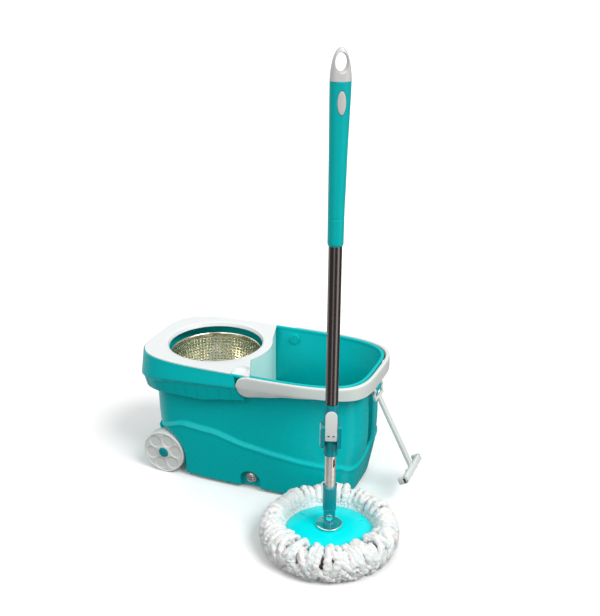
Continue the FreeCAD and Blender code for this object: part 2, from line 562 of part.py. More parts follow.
def lock_lever():
    """Flip lever: an upright tongue with a round top, on an eye that turns on the lever pin."""
    crown = LEVER_TOP - LEVER_HALF
    tongue = plate([(-LEVER_HALF, -20.6, LEVER_Z - 2.5), (-LEVER_HALF, -22.2, LEVER_Z + 11.5),
                    (-LEVER_HALF, -17.4, LEVER_TOP), (-LEVER_HALF, -14.8, LEVER_TOP),
                    (-LEVER_HALF, -14.8, LEVER_Z + 3.5)], (2 * LEVER_HALF, 0, 0))
    dome = box(-LEVER_HALF, LEVER_HALF, -30, 0, 200, crown).fuse(rod(LEVER_HALF, (0, -30, crown), (0, 0, crown)))
    lever = tongue.common(dome).fuse(rod(3.0, (-LEVER_HALF, LEVER_Y, LEVER_Z), (LEVER_HALF, LEVER_Y, LEVER_Z)))
    pin = rod(2.0 + RUNNING, (-30, LEVER_Y, LEVER_Z), (30, LEVER_Y, LEVER_Z))
    return lever.cut(pin).cut(rod(14.6, (0, 0, 190), (0, 0, CHEEK_TOP + 3))).removeSplitter()


# ---- grip: made facing the lever's side, then turned a little about the pole ----
def oval(half_x, half_y, z, middle=0.0):
    if abs(half_x - half_y) < 0.01:
        return Part.Wire(Part.makeCircle(half_x, V(middle, 0, z)))
    return Part.Wire(Part.Ellipse(V(middle + half_x, 0, z), V(middle, half_y, z), V(middle, 0, z)).toShape())


def grip_form(grow=0.0):
    sections = ((13.01, 13.0, GRIP_LOW, 0.0), (13.21, 13.2, GRIP_SEAM, 0.0), (14.4, 13.0, 700.0, 0.8),
                (17.0, 12.8, GRIP_TOP, GRIP_DRIFT))
    return Part.makeLoft([oval(x + grow, y + grow, z, middle) for x, y, z, middle in sections], True, False)


def inlay_pocket(grow=0.0):
    middle = V(GRIP_DRIFT - 0.3, 0, 797.5)
    ellipse = Part.Ellipse(middle + V(0, 0, 18.5 + grow), middle + V(7 + grow, 0, 0), middle)
    return Part.Face(Part.Wire(ellipse.toShape())).extrude(V(0, -20, 0)).cut(rod(12.0, (0, 0, 700), (0, 0, 850)))


def grip():
    bore = rod(OUTER_R, (0, 0, GRIP_LOW - 1), (0, 0, OUTER_TOP))
    return grip_form().cut(bore).cut(inlay_pocket(0.05))


def grip_inlay():
    return inlay_pocket().common(grip_form(0.3))


def grip_end_cap():
    """Flat loop for hanging, as wide as the grip at its foot and rounded over at the top."""
    side = Part.BSplineCurve()
    side.interpolate([V(17.0, 0, GRIP_TOP), V(15.8, 0, 845), V(13.6, 0, 860), V(9.0, 0, 874), V(0, 0, CAP_TOP),
                      V(-9.0, 0, 874), V(-13.6, 0, 860), V(-15.8, 0, 845), V(-17.0, 0, GRIP_TOP)])
    foot = Part.makeLine(V(-17.0, 0, GRIP_TOP), V(17.0, 0, GRIP_TOP))
    front = Part.Face(Part.Wire([side.toShape(), foot])).extrude(V(0, 40, 0))
    front.translate(V(0, -20, 0))
    taper = plate([(-20, -12.6, GRIP_TOP), (-20, 12.6, GRIP_TOP), (-20, 7.0, 880), (-20, -7.0, 880)], (40, 0, 0))
    hole = Part.Ellipse(V(0, -20, 857 + 14), V(9.4, -20, 857), V(0, -20, 857)).toShape()
    hole = Part.Face(Part.Wire(hole)).extrude(V(0, 40, 0))
    loop = front.common(taper).common(grip_block()).cut(hole).removeSplitter()
    return moved(loop, GRIP_DRIFT)


def grip_block():
    return Part.makeLoft([oval(17.0, 12.8, GRIP_TOP), oval(16.6, 11.5, 850.0), oval(14.5, 9.0, 881.0)], True, False)


# ---- placing ----
def on_mop(shape):
    placed = shape.copy()
    placed.rotate(V(0, 0, 0), V(0, 0, 1), MOP_YAW)
    return moved(placed, MOP_X, MOP_Y)


def on_pole(shape):
    """Pole parts lean by the hinge, about the pin's axis."""
    placed = shape.copy()
    placed.rotate(V(0, 0, HINGE_Z), V(0, 1, 0), LEAN)
    return on_mop(placed)


def on_grip(shape):
    placed = shape.copy()
    placed.rotate(V(0, 0, 0), V(0, 0, 1), GRIP_YAW)
    return on_pole(placed)


def as_is(shape):
    return shape


NODES = {
    "bucket_body": (bucket_body, as_is), "bail_pivots": (bail_pivots, as_is),
    "tow_pivot_pin": (tow_pivot_pin, as_is), "axle_pins": (axle_pins, as_is),
    "axle_clips": (axle_clips, as_is), "rubber_feet": (rubber_feet, as_is),
    "basket_spindle": (basket_spindle, as_is), "basket_deck": (basket_deck, as_is),
    "spin_basket": (spin_basket, as_is), "basket_hub": (basket_hub, as_is),
    "spindle_bush": (spindle_bush, as_is), "hub_screws": (hub_screws, as_is),
    "bail_handle": (bail_handle, as_is), "tow_handle": (tow_handle, as_is),
    "wheel_front": (lambda: wheel(-1), as_is), "wheel_rear": (lambda: wheel(1), as_is),
    "wheel_cap_front": (lambda: wheel_cap(-1), as_is), "wheel_cap_rear": (lambda: wheel_cap(1), as_is),
    "drain_plug": (drain_plug, as_is), "drain_seal": (drain_seal, as_is),
    "mop_disc": (mop_disc, on_mop), "disc_bearing": (disc_bearing, on_mop),
    "strand_ring": (strand_ring, on_mop), "mop_strands": (mop_strands, on_mop),
    "swivel_foot": (swivel_foot, on_mop), "washer_plate": (washer_plate, on_mop),
    "foot_screw": (foot_screw, on_mop), "yoke": (yoke, on_pole), "hinge_pin": (hinge_pin, on_pole),
    "socket_sleeve": (socket_sleeve, on_pole), "inner_tube": (inner_tube, on_pole),
    "drive_nut": (drive_nut, on_pole), "tube_rivet": (tube_rivet, on_pole),
    "guide_bush": (guide_bush, on_pole), "outer_tube": (outer_tube, on_pole),
    "lock_collar": (lock_collar, on_pole), "collar_cap": (collar_cap, on_pole),
    "lever_pin": (lever_pin, on_pole), "twist_rod": (twist_rod, on_pole),
    "rod_anchor": (rod_anchor, on_pole), "lock_lever": (lock_lever, on_pole),
    "grip": (grip, on_grip), "grip_inlay": (grip_inlay, on_grip), "grip_end_cap": (grip_end_cap, on_grip),
}


def main():
    os.makedirs("parts", exist_ok=True)
    for name, (make, place) in NODES.items():
        made = make()
        pieces = made if isinstance(made, list) else [made]
        pieces = [moved(place(piece), SHIFT.x, SHIFT.y) for piece in pieces]
        shape = pieces[0] if len(pieces) == 1 else Part.makeCompound(pieces)
        shape.exportStep("parts/" + name + ".step")
        print(f"{name}: {len(shape.Solids)} solid, {shape.Volume / 1000:.1f} cm3, valid {shape.isValid()}")


main()
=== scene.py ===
"""Spin mop: the finished looks of the bucket, its basket and handles, and the push-to-spin mop."""
import json
import math
import random

import bmesh
import bpy
from mathutils import Matrix, Vector, noise


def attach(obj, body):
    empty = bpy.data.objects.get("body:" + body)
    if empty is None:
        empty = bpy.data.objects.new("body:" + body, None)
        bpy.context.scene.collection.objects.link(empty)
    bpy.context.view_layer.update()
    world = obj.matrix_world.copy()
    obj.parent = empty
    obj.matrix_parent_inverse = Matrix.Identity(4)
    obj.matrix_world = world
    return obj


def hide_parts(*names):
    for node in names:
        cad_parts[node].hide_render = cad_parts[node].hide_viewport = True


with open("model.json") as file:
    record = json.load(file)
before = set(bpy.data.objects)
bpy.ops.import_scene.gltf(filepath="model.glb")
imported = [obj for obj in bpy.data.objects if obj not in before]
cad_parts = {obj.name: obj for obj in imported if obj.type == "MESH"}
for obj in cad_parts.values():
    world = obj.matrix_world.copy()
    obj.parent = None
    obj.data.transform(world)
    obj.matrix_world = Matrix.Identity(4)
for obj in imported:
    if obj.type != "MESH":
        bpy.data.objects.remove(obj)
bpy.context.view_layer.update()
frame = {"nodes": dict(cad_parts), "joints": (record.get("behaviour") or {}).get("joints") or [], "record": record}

MM = 0.001
JOINTS = {joint["name"]: joint for joint in frame["joints"]}

# ---- the bucket's outlines, in millimetres: left x, right x, half width, height ----
SQUARENESS = 4.0
WALL = 2.5
WALL_SECTIONS = (
    (-204.0, 208.0, 104.5, 5.0), (-208.0, 219.0, 108.0, 60.0), (-212.0, 227.0, 110.0, 110.0),
    (-216.0, 228.0, 112.0, 190.0), (-231.0, 231.0, 121.5, 252.0),
)
BASE_Z, WALL_TOP = 5.0, 252.0
RIM_A, RIM_B, RIM_SEAT, RIM_TOP = 234.0, 124.5, 254.9, 257.9
# heights of the soft ledge along the bucket, from the basket's end to the tub's end
LEDGE = ((-215.0, 88.0), (-190.0, 102.0), (-132.0, 123.0), (-70.0, 120.0), (7.0, 102.0), (69.0, 94.0),
         (122.0, 88.0), (175.0, 84.0), (230.0, 80.0))
LEDGE_DEPTH = ((-215.0, 3.4), (-200.0, 4.5), (-170.0, 6.0), (-60.0, 6.0), (60.0, 4.0), (150.0, 2.6),
               (230.0, 2.6))
SHOULDER = ((-20.0, 204.0), (30.0, 209.0), (108.0, 222.0), (170.0, 227.0), (232.0, 222.0))
SKIRT_CREASE = ((-240.0, 204.0), (-200.0, 210.0), (-140.0, 222.0), (-90.0, 227.0), (-10.0, 232.0))
SKIRT_HEM = ((-240.0, 180.0), (-200.0, 184.0), (-130.0, 189.0), (-78.0, 190.5), (-30.0, 199.0),
             (10.0, 205.0))
SKIRT_END_X = -15.0
# x of the skirt's end edge at a height: it bows round the bail's boss
SKIRT_END = ((207.0, 15.0), (211.0, 12.0), (216.0, 7.0), (226.0, 1.5), (236.0, -1.5), (245.0, -3.5),
             (253.0, -6.7))
RIB_SPACING = 24.0

BASKET_X = -104.8
OPENING_R, DECK_LIP_R, DECK_LIP_Z = 96.0, 93.6, 250.5
DECK_ARC_R, DECK_ARC_HALF = 115.0, math.radians(28.0)
DECK_BACK_X, DECK_FRONT_X = -27.0, 31.0
SCOOP_MID_X, SCOOP_HALF, SCOOP_DEEP = -0.5, 14.0, 8.5
SPLASH_FOOT_Z, SPLASH_HALF = 140.0, 106.0
BASKET_FLOOR_Z = 160.0
HUB_R = 14.0

PIVOT_X, PIVOT_Z = 20.5, 236.0
BAIL_IN_A, BAIL_IN_B, BAIL_OUT_A, BAIL_OUT_B = 237.3, 127.2, 245.0, 133.5
BAIL_BOSS_R, BAIL_TOP = 20.5, 257.8
BAIL_HEM = ((20.5, 215.5), (60.0, 221.5), (108.0, 230.0), (170.0, 235.5), (245.0, 231.0))
BAIL_CREASE = ((20.5, 233.0), (60.0, 234.5), (108.0, 236.0), (150.0, 237.0), (185.0, 236.0), (245.0, 231.5))

TOW_X, TOW_Z, SHAFT_LENGTH, TOW_ANGLE = 237.0, 217.5, 159.8, math.radians(26.5)
TEE_HALF, TEE_DEEP, TEE_THICK = 49.5, 14.0, 4.5
FORK_IN, FORK_OUT, FORK_DROP, FORK_FORWARD = 18.3, 24.0, 17.5, 4.0
WHEEL_X, WHEEL_R, WHEEL_FACE, WHEEL_BACK, WHEEL_WEB = -176.0, 44.4, 110.0, 86.0, 100.5
HOLLOW_COUNT, HOLLOW_AT_R, HOLLOW_R, HOLLOW_DEEP = 6, 27.6, 13.2, 1.3
WELL_X, WELL_Z, WELL_R, WELL_FLOOR = -184.0, 40.4, 58.0, 72.0
DRAIN_X, DRAIN_Z, DRAIN_FLOOR_Y = 16.0, 26.0, -97.0
DRAIN_ARCH_R, DRAIN_ARCH_Z = 22.0, 21.0
POST_TOP_R, POST_FOOT_R, POST_TOP = 13.0, 32.0, 125.0
AXLE_BOSS_R, AXLE_BOSS_Y = 11.0, 84.5
PAST_Y, PAST_LEFT, PAST_FLOOR = 150.0, -260.0, -10.0
LUG_ROOT_X, LUG_NOSE_X, LUG_HALF, LUG_LOW, LUG_TOP = 220.0, 241.0, 17.0, 205.0, 229.0
STUB_R, STUB_IN, STUB_OUT = 10.0, 112.0, 126.5

HINGE_Z = 65.3
STRAND_R, DISC_R = 129.0, 80.0
GRIP_LOW, GRIP_SEAM, GRIP_TOP, CAP_TOP = 569.5, 615.5, 829.3, 879.4
GRIP_YAW = math.radians(14.0)
INLAY_X, INLAY_Z, INLAY_HALF, INLAY_TALL = 1.9, 797.5, 6.9, 18.4
LOOP_MID_X, LOOP_HALF, LOOP_DEEP = 2.2, 17.0, 12.6
HOLE_Z, HOLE_HALF, HOLE_TALL = 857.0, 9.0, 13.8
TUBE_R, TUBE_LOW, TUBE_LENGTH = 9.5, 83.0, 517.0


# ---- places: each kind of part is drawn in its own millimetre frame and set down by one of these ----
def joint_place(name):
    return Vector(JOINTS[name]["pos_m"])


basket_axis = joint_place("basket_spin")
BUCKET = Matrix.Translation((basket_axis.x - BASKET_X * MM, basket_axis.y, 0)) @ Matrix.Scale(MM, 4)
mop_axis = joint_place("yoke_tilt")
tilt_axis = Vector(JOINTS["yoke_tilt"]["axis"])
pole_axis = Vector(JOINTS["pole_slide"]["axis"])
MOP_YAW = math.atan2(-tilt_axis.x, tilt_axis.y)
LEAN = math.acos(min(1.0, pole_axis.z))
MOP = Matrix.Translation((mop_axis.x, mop_axis.y, 0)) @ Matrix.Rotation(MOP_YAW, 4, "Z") @ Matrix.Scale(MM, 4)
POLE = (MOP @ Matrix.Translation((0, 0, HINGE_Z)) @ Matrix.Rotation(LEAN, 4, "Y")
        @ Matrix.Translation((0, 0, -HINGE_Z)))
GRIP = POLE @ Matrix.Rotation(GRIP_YAW, 4, "Z")


# ---- curves and outlines ----
def along(points, x):
    """Height of a curve through (x, height) points, eased between them."""
    if x <= points[0][0]:
        return points[0][1]
    for (x0, y0), (x1, y1) in zip(points, points[1:]):
        if x <= x1:
            t = (x - x0) / (x1 - x0)
            return y0 + (y1 - y0) * (t + t * t * (3 - 2 * t)) / 2
    return points[-1][1]


def smooth(t):
    t = min(1.0, max(0.0, t))
    return t * t * (3 - 2 * t)


def signed_power(value, power):
    return math.copysign(abs(value) ** power, value)


def rim_point(turn, left, right, half, power=SQUARENESS):
    c, s = math.cos(turn), math.sin(turn)
    pull = (abs(c) ** power + abs(s) ** power) ** (-1 / power)
    return (left + right) / 2 + (right - left) / 2 * c * pull, half * s * pull


def wall_outline(z):
    """The wall's left, right and half width at a height, smoothly between the sections."""
    z = min(WALL_TOP, max(BASE_Z, z))
    last = len(WALL_SECTIONS) - 1
    index = next(k for k in range(last) if z <= WALL_SECTIONS[k + 1][3])
    before, low, high, after = (WALL_SECTIONS[min(last, max(0, index + k))] for k in (-1, 0, 1, 2))
    span = high[3] - low[3]
    t = (z - low[3]) / span
    values = []
    for k in range(3):
        slope_low = (high[k] - before[k]) / (high[3] - before[3]) * span
        slope_high = (after[k] - low[k]) / (after[3] - low[3]) * span
        values.append((2 * t ** 3 - 3 * t ** 2 + 1) * low[k] + (t ** 3 - 2 * t ** 2 + t) * slope_low
                      + (3 * t ** 2 - 2 * t ** 3) * high[k] + (t ** 3 - t ** 2) * slope_high)
    return values


def deck_reach(angle):
    """How far the deck reaches from the opening's centre in a direction, and whether it ends at the rim."""
    c, s = math.cos(angle), math.sin(angle)
    low, high = 50.0, 400.0
    for _ in range(40):
        mid = (low + high) / 2
        x, y = BASKET_X + mid * c, mid * s
        inside = (abs(x) / RIM_A) ** SQUARENESS + (abs(y) / RIM_B) ** SQUARENESS < 1
        low, high = (mid, high) if inside else (low, mid)
    rim = low
    arc = math.atan2(s, c)
    if abs(arc) <= DECK_ARC_HALF:
        return min(rim, DECK_ARC_R), rim <= DECK_ARC_R
    if abs(arc) >= math.pi / 2 + 0.3:
        return rim, True
    to_back = 1 if s > 0 else -1
    knee = DECK_ARC_R * Vector((math.cos(DECK_ARC_HALF), math.sin(DECK_ARC_HALF) * to_back))
    far = Vector(((DECK_BACK_X if s > 0 else DECK_FRONT_X) - BASKET_X, 135.0 * to_back))
    edge = far - knee
    cross = c * edge.y - s * edge.x
    if abs(cross) < 1e-9:
        return rim, True
    side = (knee.x * edge.y - knee.y * edge.x) / cross
    return (side, False) if 0 < side < rim else (rim, True)


# ---- mesh helpers ----
def formed(across, length, place, close=True, fill=False):
    """A grid whose points are put where place(u, v) says, u and v from 0 to 1, with its seams merged."""
    bm = bmesh.new()
    bmesh.ops.create_grid(bm, x_segments=across, y_segments=length, size=1)
    for vert in bm.verts:
        vert.co = place((vert.co.x + 1) / 2, (vert.co.y + 1) / 2)
    if close:
        bmesh.ops.remove_doubles(bm, verts=bm.verts, dist=1e-4)
    if fill:
        bmesh.ops.holes_fill(bm, edges=bm.edges, sides=0)
    bmesh.ops.recalc_face_normals(bm, faces=bm.faces)
    return bm


def closed(bm, gap=1e-4):
    """Merge seams and turn every face outwards."""
    bmesh.ops.remove_doubles(bm, verts=bm.verts, dist=gap)
    bmesh.ops.recalc_face_normals(bm, faces=bm.faces)
    return bm


def turned(profile, steps):
    """A solid or shell of revolution about Z, from (radius, height) points."""
    bm = bmesh.new()
    verts = [bm.verts.new((radius, 0, height)) for radius, height in profile]
    edges = [bm.edges.new(pair) for pair in zip(verts, verts[1:])]
    bmesh.ops.spin(bm, geom=verts + edges, cent=(0, 0, 0), axis=(0, 0, 1), angle=math.tau,
                   steps=steps, use_merge=True)
    return closed(bm)


def rounded_profile(points, radius, steps=3):
    """A polyline with its inner corners rounded by arcs of about that radius."""
    out = [points[0]]
    for before, at, after in zip(points, points[1:], points[2:]):
        a, b, c = Vector(before), Vector(at), Vector(after)
        reach = min(radius, (a - b).length * 0.45, (c - b).length * 0.45)
        start, end = b + (a - b).normalized() * reach, b + (c - b).normalized() * reach
        for step in range(steps + 1):
            t = step / steps
            out.append(tuple(start * (1 - t) ** 2 + b * 2 * t * (1 - t) + end * t * t))
    out.append(points[-1])
    return out


def ease(bm, edges, offset, segments=3):
    bmesh.ops.bevel(bm, geom=edges, offset=offset, affect="EDGES", segments=segments, profile=0.5,
                    material=-1)


def sharp_edges(bm):
    return [edge for edge in bm.edges
            if len(edge.link_faces) == 2 and edge.calc_face_angle() > math.radians(60)]


def round_point(radius, share, z):
    """A point of a level circle about Z, a share of the way round it."""
    return Vector((radius * math.cos(math.tau * share), radius * math.sin(math.tau * share), z))


def block(x0, x1, y0, y1, z0, z1, bevel=0.0):
    bm = bmesh.new()
    bmesh.ops.create_cube(bm, size=1)
    bmesh.ops.scale(bm, vec=(x1 - x0, y1 - y0, z1 - z0), verts=bm.verts)
    bmesh.ops.translate(bm, vec=((x0 + x1) / 2, (y0 + y1) / 2, (z0 + z1) / 2), verts=bm.verts)
    if bevel:
        ease(bm, bm.edges, bevel)
    return bm


def drum(radius, start, end, steps=48, bevel=0.0):
    """A round bar between two points."""
    bm = bmesh.new()
    start, end = Vector(start), Vector(end)
    bmesh.ops.create_cone(bm, cap_ends=True, segments=steps, radius1=radius, radius2=radius,
                          depth=(end - start).length)
    if bevel:
        ease(bm, sharp_edges(bm), bevel)
    turn = (end - start).to_track_quat("Z", "Y").to_matrix().to_4x4()
    move(bm, Matrix.Translation((start + end) / 2) @ turn)
    return bm


def move(bm, matrix):
    bmesh.ops.transform(bm, matrix=matrix, verts=bm.verts)


def joined(*parts):
    """Several meshes as one."""
    whole = bmesh.new()
    for part in parts:
        mesh = bpy.data.meshes.new("part")
        part.to_mesh(mesh)
        part.free()
        whole.from_mesh(mesh)
        bpy.data.meshes.remove(mesh)
    return whole


def as_object(bm, name):
    mesh = bpy.data.meshes.new(name)
    bm.to_mesh(mesh)
    bm.free()
    obj = bpy.data.objects.new(name, mesh)
    bpy.context.scene.collection.objects.link(obj)
    return obj


def settled(obj):
    """Apply an object's modifiers to its mesh."""
    bpy.context.view_layer.update()
    mesh = bpy.data.meshes.new_from_object(obj.evaluated_get(bpy.context.evaluated_depsgraph_get()))
    obj.modifiers.clear()
    obj.data = mesh
    return obj


def carve(obj, tool, operation="DIFFERENCE"):
    """Cut a tool's mesh from an object, or add it, and throw the tool away."""
    cutter = as_object(tool, "tool")
    modifier = obj.modifiers.new("carve", "BOOLEAN")
    modifier.operation, modifier.solver, modifier.object = operation, "EXACT", cutter
    settled(obj)
    bpy.data.objects.remove(cutter)
    return obj


def thicken(obj, amount):
    solid = obj.modifiers.new("thick", "SOLIDIFY")
    solid.thickness, solid.offset = amount, -1


def finish_shading(obj, angle):
    """Smooth shading with creases where faces meet sharply."""
    bm = bmesh.new()
    bm.from_mesh(obj.data)
    for face in bm.faces:
        face.smooth = True
    for edge in bm.edges:
        edge.smooth = not (len(edge.link_faces) == 2 and edge.calc_face_angle() > math.radians(angle))
    bm.to_mesh(obj.data)
    bm.free()


def piece(shape, name, place, body, nodes, slot, look=None, bevel=0.0, subsurf=0, thick=0.0, angle=35.0):
    """Set a shape down in the frame as a finished piece that stands for its CAD nodes, in its slot's look."""
    obj = shape if isinstance(shape, bpy.types.Object) else as_object(shape, name)
    obj.name = name
    obj.data.transform(place)
    if place.to_3x3().determinant() < 0:
        obj.data.flip_normals()
    if thick:
        thicken(obj, thick * MM)
    if bevel:
        edge = obj.modifiers.new("edges", "BEVEL")
        edge.width, edge.segments, edge.limit_method = bevel * MM, 3, "ANGLE"
        edge.angle_limit, edge.harden_normals = math.radians(40), False
    if subsurf:
        subdivide = obj.modifiers.new("round", "SUBSURF")
        subdivide.levels = subdivide.render_levels = subsurf
    settled(obj)
    finish_shading(obj, angle)
    obj.data.materials.clear()
    obj.data.materials.append(LOOKS[look or slot])
    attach(obj, body)
    if nodes:
        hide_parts(*nodes)
    return obj


def cad_copy(node):
    """A merged copy of a CAD node's mesh, in metres, ready for edge rounding."""
    bm = bmesh.new()
    bm.from_mesh(frame["nodes"][node].data)
    bmesh.ops.remove_doubles(bm, verts=bm.verts, dist=2e-6)
    bmesh.ops.dissolve_limit(bm, angle_limit=math.radians(1.0), verts=bm.verts, edges=bm.edges)
    return bm


# ---- materials ----
def feed(links, value, socket):
    """Link an output to a socket, or set the socket to a plain value."""
    if isinstance(value, bpy.types.NodeSocket):
        links.new(value, socket)
    else:
        socket.default_value = value


def noise_field(tree, where, scale, detail):
    texture = tree.nodes.new("ShaderNodeTexNoise")
    texture.inputs["Detail"].default_value = detail
    tree.links.new(where, texture.inputs["Vector"])
    feed(tree.links, scale, texture.inputs["Scale"])
    return texture.outputs["Fac"]


def mixed(tree, factor, low, high, kind="FLOAT"):
    mix = tree.nodes.new("ShaderNodeMix")
    mix.data_type = kind
    for value, label in ((factor, "Factor"), (low, "A"), (high, "B")):
        feed(tree.links, value, mix.inputs[label])
    return mix.outputs["Result"]


def surface_group(name, inputs, relief, depth, pattern):
    """A group that makes tone, gloss and relief from the three fields a pattern gives."""
    group = bpy.data.node_groups.new(name, "ShaderNodeTree")
    shared = [("Tone A", "Color", (1, 1, 1, 1)), ("Tone B", "Color", (1, 1, 1, 1)),
              ("Gloss Low", "Float", 0.2), ("Gloss High", "Float", 0.3)]
    for label, kind, default in shared + inputs:
        socket = group.interface.new_socket(label, in_out="INPUT", socket_type="NodeSocket" + kind)
        socket.default_value = default
    for label, kind in (("Color", "Color"), ("Roughness", "Float"), ("Normal", "Vector")):
        group.interface.new_socket(label, in_out="OUTPUT", socket_type="NodeSocket" + kind)
    nodes, links = group.nodes, group.links
    given, result = nodes.new("NodeGroupInput").outputs, nodes.new("NodeGroupOutput").inputs
    where = nodes.new("ShaderNodeTexCoord").outputs["Object"]
    tone, gloss, height = pattern(group, where, given)
    links.new(mixed(group, tone, given["Tone A"], given["Tone B"], "RGBA"), result["Color"])
    links.new(mixed(group, gloss, given["Gloss Low"], given["Gloss High"]), result["Roughness"])
    bump = nodes.new("ShaderNodeBump")
    bump.inputs["Distance"].default_value = depth
    links.new(given[relief], bump.inputs["Strength"])
    links.new(height, bump.inputs["Height"])
    links.new(bump.outputs["Normal"], result["Normal"])
    return group


def moulded(tree, where, given):
    """Cloudy tone, uneven gloss and a fine moulded skin."""
    return (noise_field(tree, where, 9.0, 4.0), noise_field(tree, where, 38.0, 6.0),
            noise_field(tree, where, given["Grain Scale"], 3.0))


def drawn(tree, where, given):
    """Fine drawn lines: noise stretched by a per-axis scale."""
    mapping = tree.nodes.new("ShaderNodeMapping")
    tree.links.new(where, mapping.inputs["Vector"])
    tree.links.new(given["Stretch"], mapping.inputs["Scale"])
    lines = noise_field(tree, mapping.outputs["Vector"], 1.0, 5.0)
    return lines, lines, lines


MOULDED = surface_group("moulded_skin", [("Grain", "Float", 0.05), ("Grain Scale", "Float", 900.0)],
                        "Grain", 0.0006, moulded)
DRAWN = surface_group("drawn_metal", [("Stretch", "Vector", (1.0, 1.0, 1.0)), ("Relief", "Float", 0.05)],
                      "Relief", 0.0003, drawn)
LOOKS = {}


def surfaced(name, group, values, **constants):
    """Keep a material whose Principled shader takes colour, roughness and normal from a group."""
    material = bpy.data.materials.new(name)
    material.use_nodes = True
    nodes, links = material.node_tree.nodes, material.node_tree.links
    shader = nodes["Principled BSDF"]
    effect = nodes.new("ShaderNodeGroup")
    effect.node_tree = group
    for label, value in values.items():
        effect.inputs[label].default_value = value
    for out, label in (("Color", "Base Color"), ("Roughness", "Roughness"), ("Normal", "Normal")):
        links.new(effect.outputs[out], shader.inputs[label])
    for label, value in constants.items():
        shader.inputs[label.replace("_", " ").title().replace("Ior", "IOR")].default_value = value
    LOOKS[name] = material


def shade(color, factor):
    return tuple(min(1.0, channel * factor) for channel in color) + (1.0,)


def plastic(name, color, low=0.2, high=0.3, grain=0.05, scale=900.0, spread=0.08, **constants):
    surfaced(name, MOULDED, {
        "Tone A": shade(color, 1 - spread), "Tone B": shade(color, 1 + spread), "Gloss Low": low,
        "Gloss High": high, "Grain": grain, "Grain Scale": scale}, **constants)


def metal(name, color, stretch, low, high, relief=0.05, spread=0.1):
    surfaced(name, DRAWN, {
        "Tone A": shade(color, 1 - spread), "Tone B": shade(color, 1 + spread), "Stretch": stretch,
        "Gloss Low": low, "Gloss High": high, "Relief": relief}, metallic=1.0)


TEAL = (0.0, 0.47, 0.48)
plastic("teal_shell", TEAL, 0.22, 0.32, spread=0.04, specular_ior_level=0.14)
plastic("teal_trim", (0.0, 0.26, 0.30), 0.25, 0.35, specular_ior_level=0.35)
plastic("teal_grip", (0.0, 0.47, 0.47), 0.3, 0.42, 0.12, 1400.0, specular_ior_level=0.2)
plastic("turquoise", (0.0, 0.72, 0.74), 0.2, 0.3, spread=0.04, specular_ior_level=0.2)
plastic("white_deck", (0.74, 0.77, 0.77), 0.25, 0.35, spread=0.02, subsurface_weight=0.1,
        subsurface_scale=0.004)
# a darker copy of the white deck plastic for the hanging loop and the grip's oval: painted shade
plastic("loop_white_painted_shade", (0.62, 0.60, 0.60), 0.2, 0.3, spread=0.03)
plastic("splash_aqua", (0.55, 0.86, 0.83), 0.25, 0.35, spread=0.02)
plastic("pale_grey", (0.66, 0.70, 0.675), 0.34, 0.46, 0.08, spread=0.03)
plastic("drain_grey", (0.50, 0.51, 0.49), 0.15, 0.25, spread=0.05, metallic=0.6)
metal("basket_steel", (0.80, 0.77, 0.62), (30.0, 30.0, 900.0), 0.06, 0.16, 0.01)
metal("dark_tube", (0.17, 0.145, 0.14), (900.0, 900.0, 8.0), 0.2, 0.3, 0.03)
metal("bright_steel", (0.80, 0.79, 0.77), (900.0, 900.0, 10.0), 0.1, 0.2, 0.03, 0.05)
metal("satin_steel", (0.86, 0.80, 0.74), (900.0, 900.0, 10.0), 0.42, 0.52, 0.03, 0.04)
metal("zinc_steel", (0.55, 0.55, 0.55), (400.0, 400.0, 400.0), 0.3, 0.45)
plastic("natural_nylon", (0.75, 0.73, 0.66), 0.4, 0.5, spread=0.04)
plastic("black_rubber", (0.02, 0.02, 0.02), 0.6, 0.75, 0.2, 700.0)
plastic("microfibre", (0.73, 0.73, 0.72), 0.85, 0.95, 0.9, 650.0, spread=0.06,
        sheen_weight=0.2, sheen_roughness=0.4, subsurface_weight=0.25, subsurface_scale=0.006)


# ---- bucket ----
def crowded(values):
    """Row positions made from (start, end, count) stretches."""
    out = []
    for start, end, count in values:
        out += [start + (end - start) * step / count for step in range(count)]
    return out + [values[-1][1]]


def wall_point(turn, share):
    """A point of the outer wall: share is 0 at the base, 1 at the ledge, 2 at the shoulder, 3 at the top."""
    x_plan, y_plan = rim_point(turn, -220, 224, 112)
    at_end = smooth((x_plan - 196) / 16)  # 1 on the tub's end wall
    ledge = along(LEDGE, x_plan) + (26 * smooth((y_plan + 60) / 120) - 8) * at_end
    depth = along(LEDGE_DEPTH, x_plan)
    on_tub = smooth((x_plan - SKIRT_END_X + 12) / 10)
    shoulder = along(SHOULDER, x_plan)
    if share <= 1:
        z = BASE_Z + (ledge - BASE_Z) * share
    elif share <= 2:
        z = ledge + (shoulder - ledge) * (share - 1)
    else:
        z = shoulder + (WALL_TOP - shoulder) * (share - 2)
    left, right, half = wall_outline(z)
    below = 1 - smooth((z - ledge + 5) / 9)
    above = smooth((z - shoulder + 1) / 2.5) * on_tub
    # the wall swells below the ledge and above the tub's shoulder, with a bead on the ledge,
    # a shallow channel down the end wall and a rounded foot
    out = depth * below - 1.2 + 4.5 * above * (1 - smooth((z - shoulder) / (WALL_TOP - shoulder)) * 0.85)
    out += 1.0 * math.exp(-((z - ledge + 6) / 3.0) ** 2)
    out -= (1.6 * at_end * (1 - smooth((abs(y_plan) - 11) / 4)) * smooth((z - ledge) / 8)
            * smooth((208 - z) / 14))
    foot = max(0.0, 1 - (z - BASE_Z) / 4.0)
    out -= 3.0 * foot * foot
    x, y = rim_point(turn, left - out, right + out, half + out)
    return Vector((x, y, z))


def recess(obj, x, z, radius, y0, y1, left, steps):
    """Cut an arch from an object: a round bar across, and a block below it from a left edge."""
    y0, y1 = sorted((y0, y1))
    carve(obj, drum(radius, (x, y0, z), (x, y1, z), steps))
    carve(obj, block(left, x + radius, y0, y1, PAST_FLOOR, z))


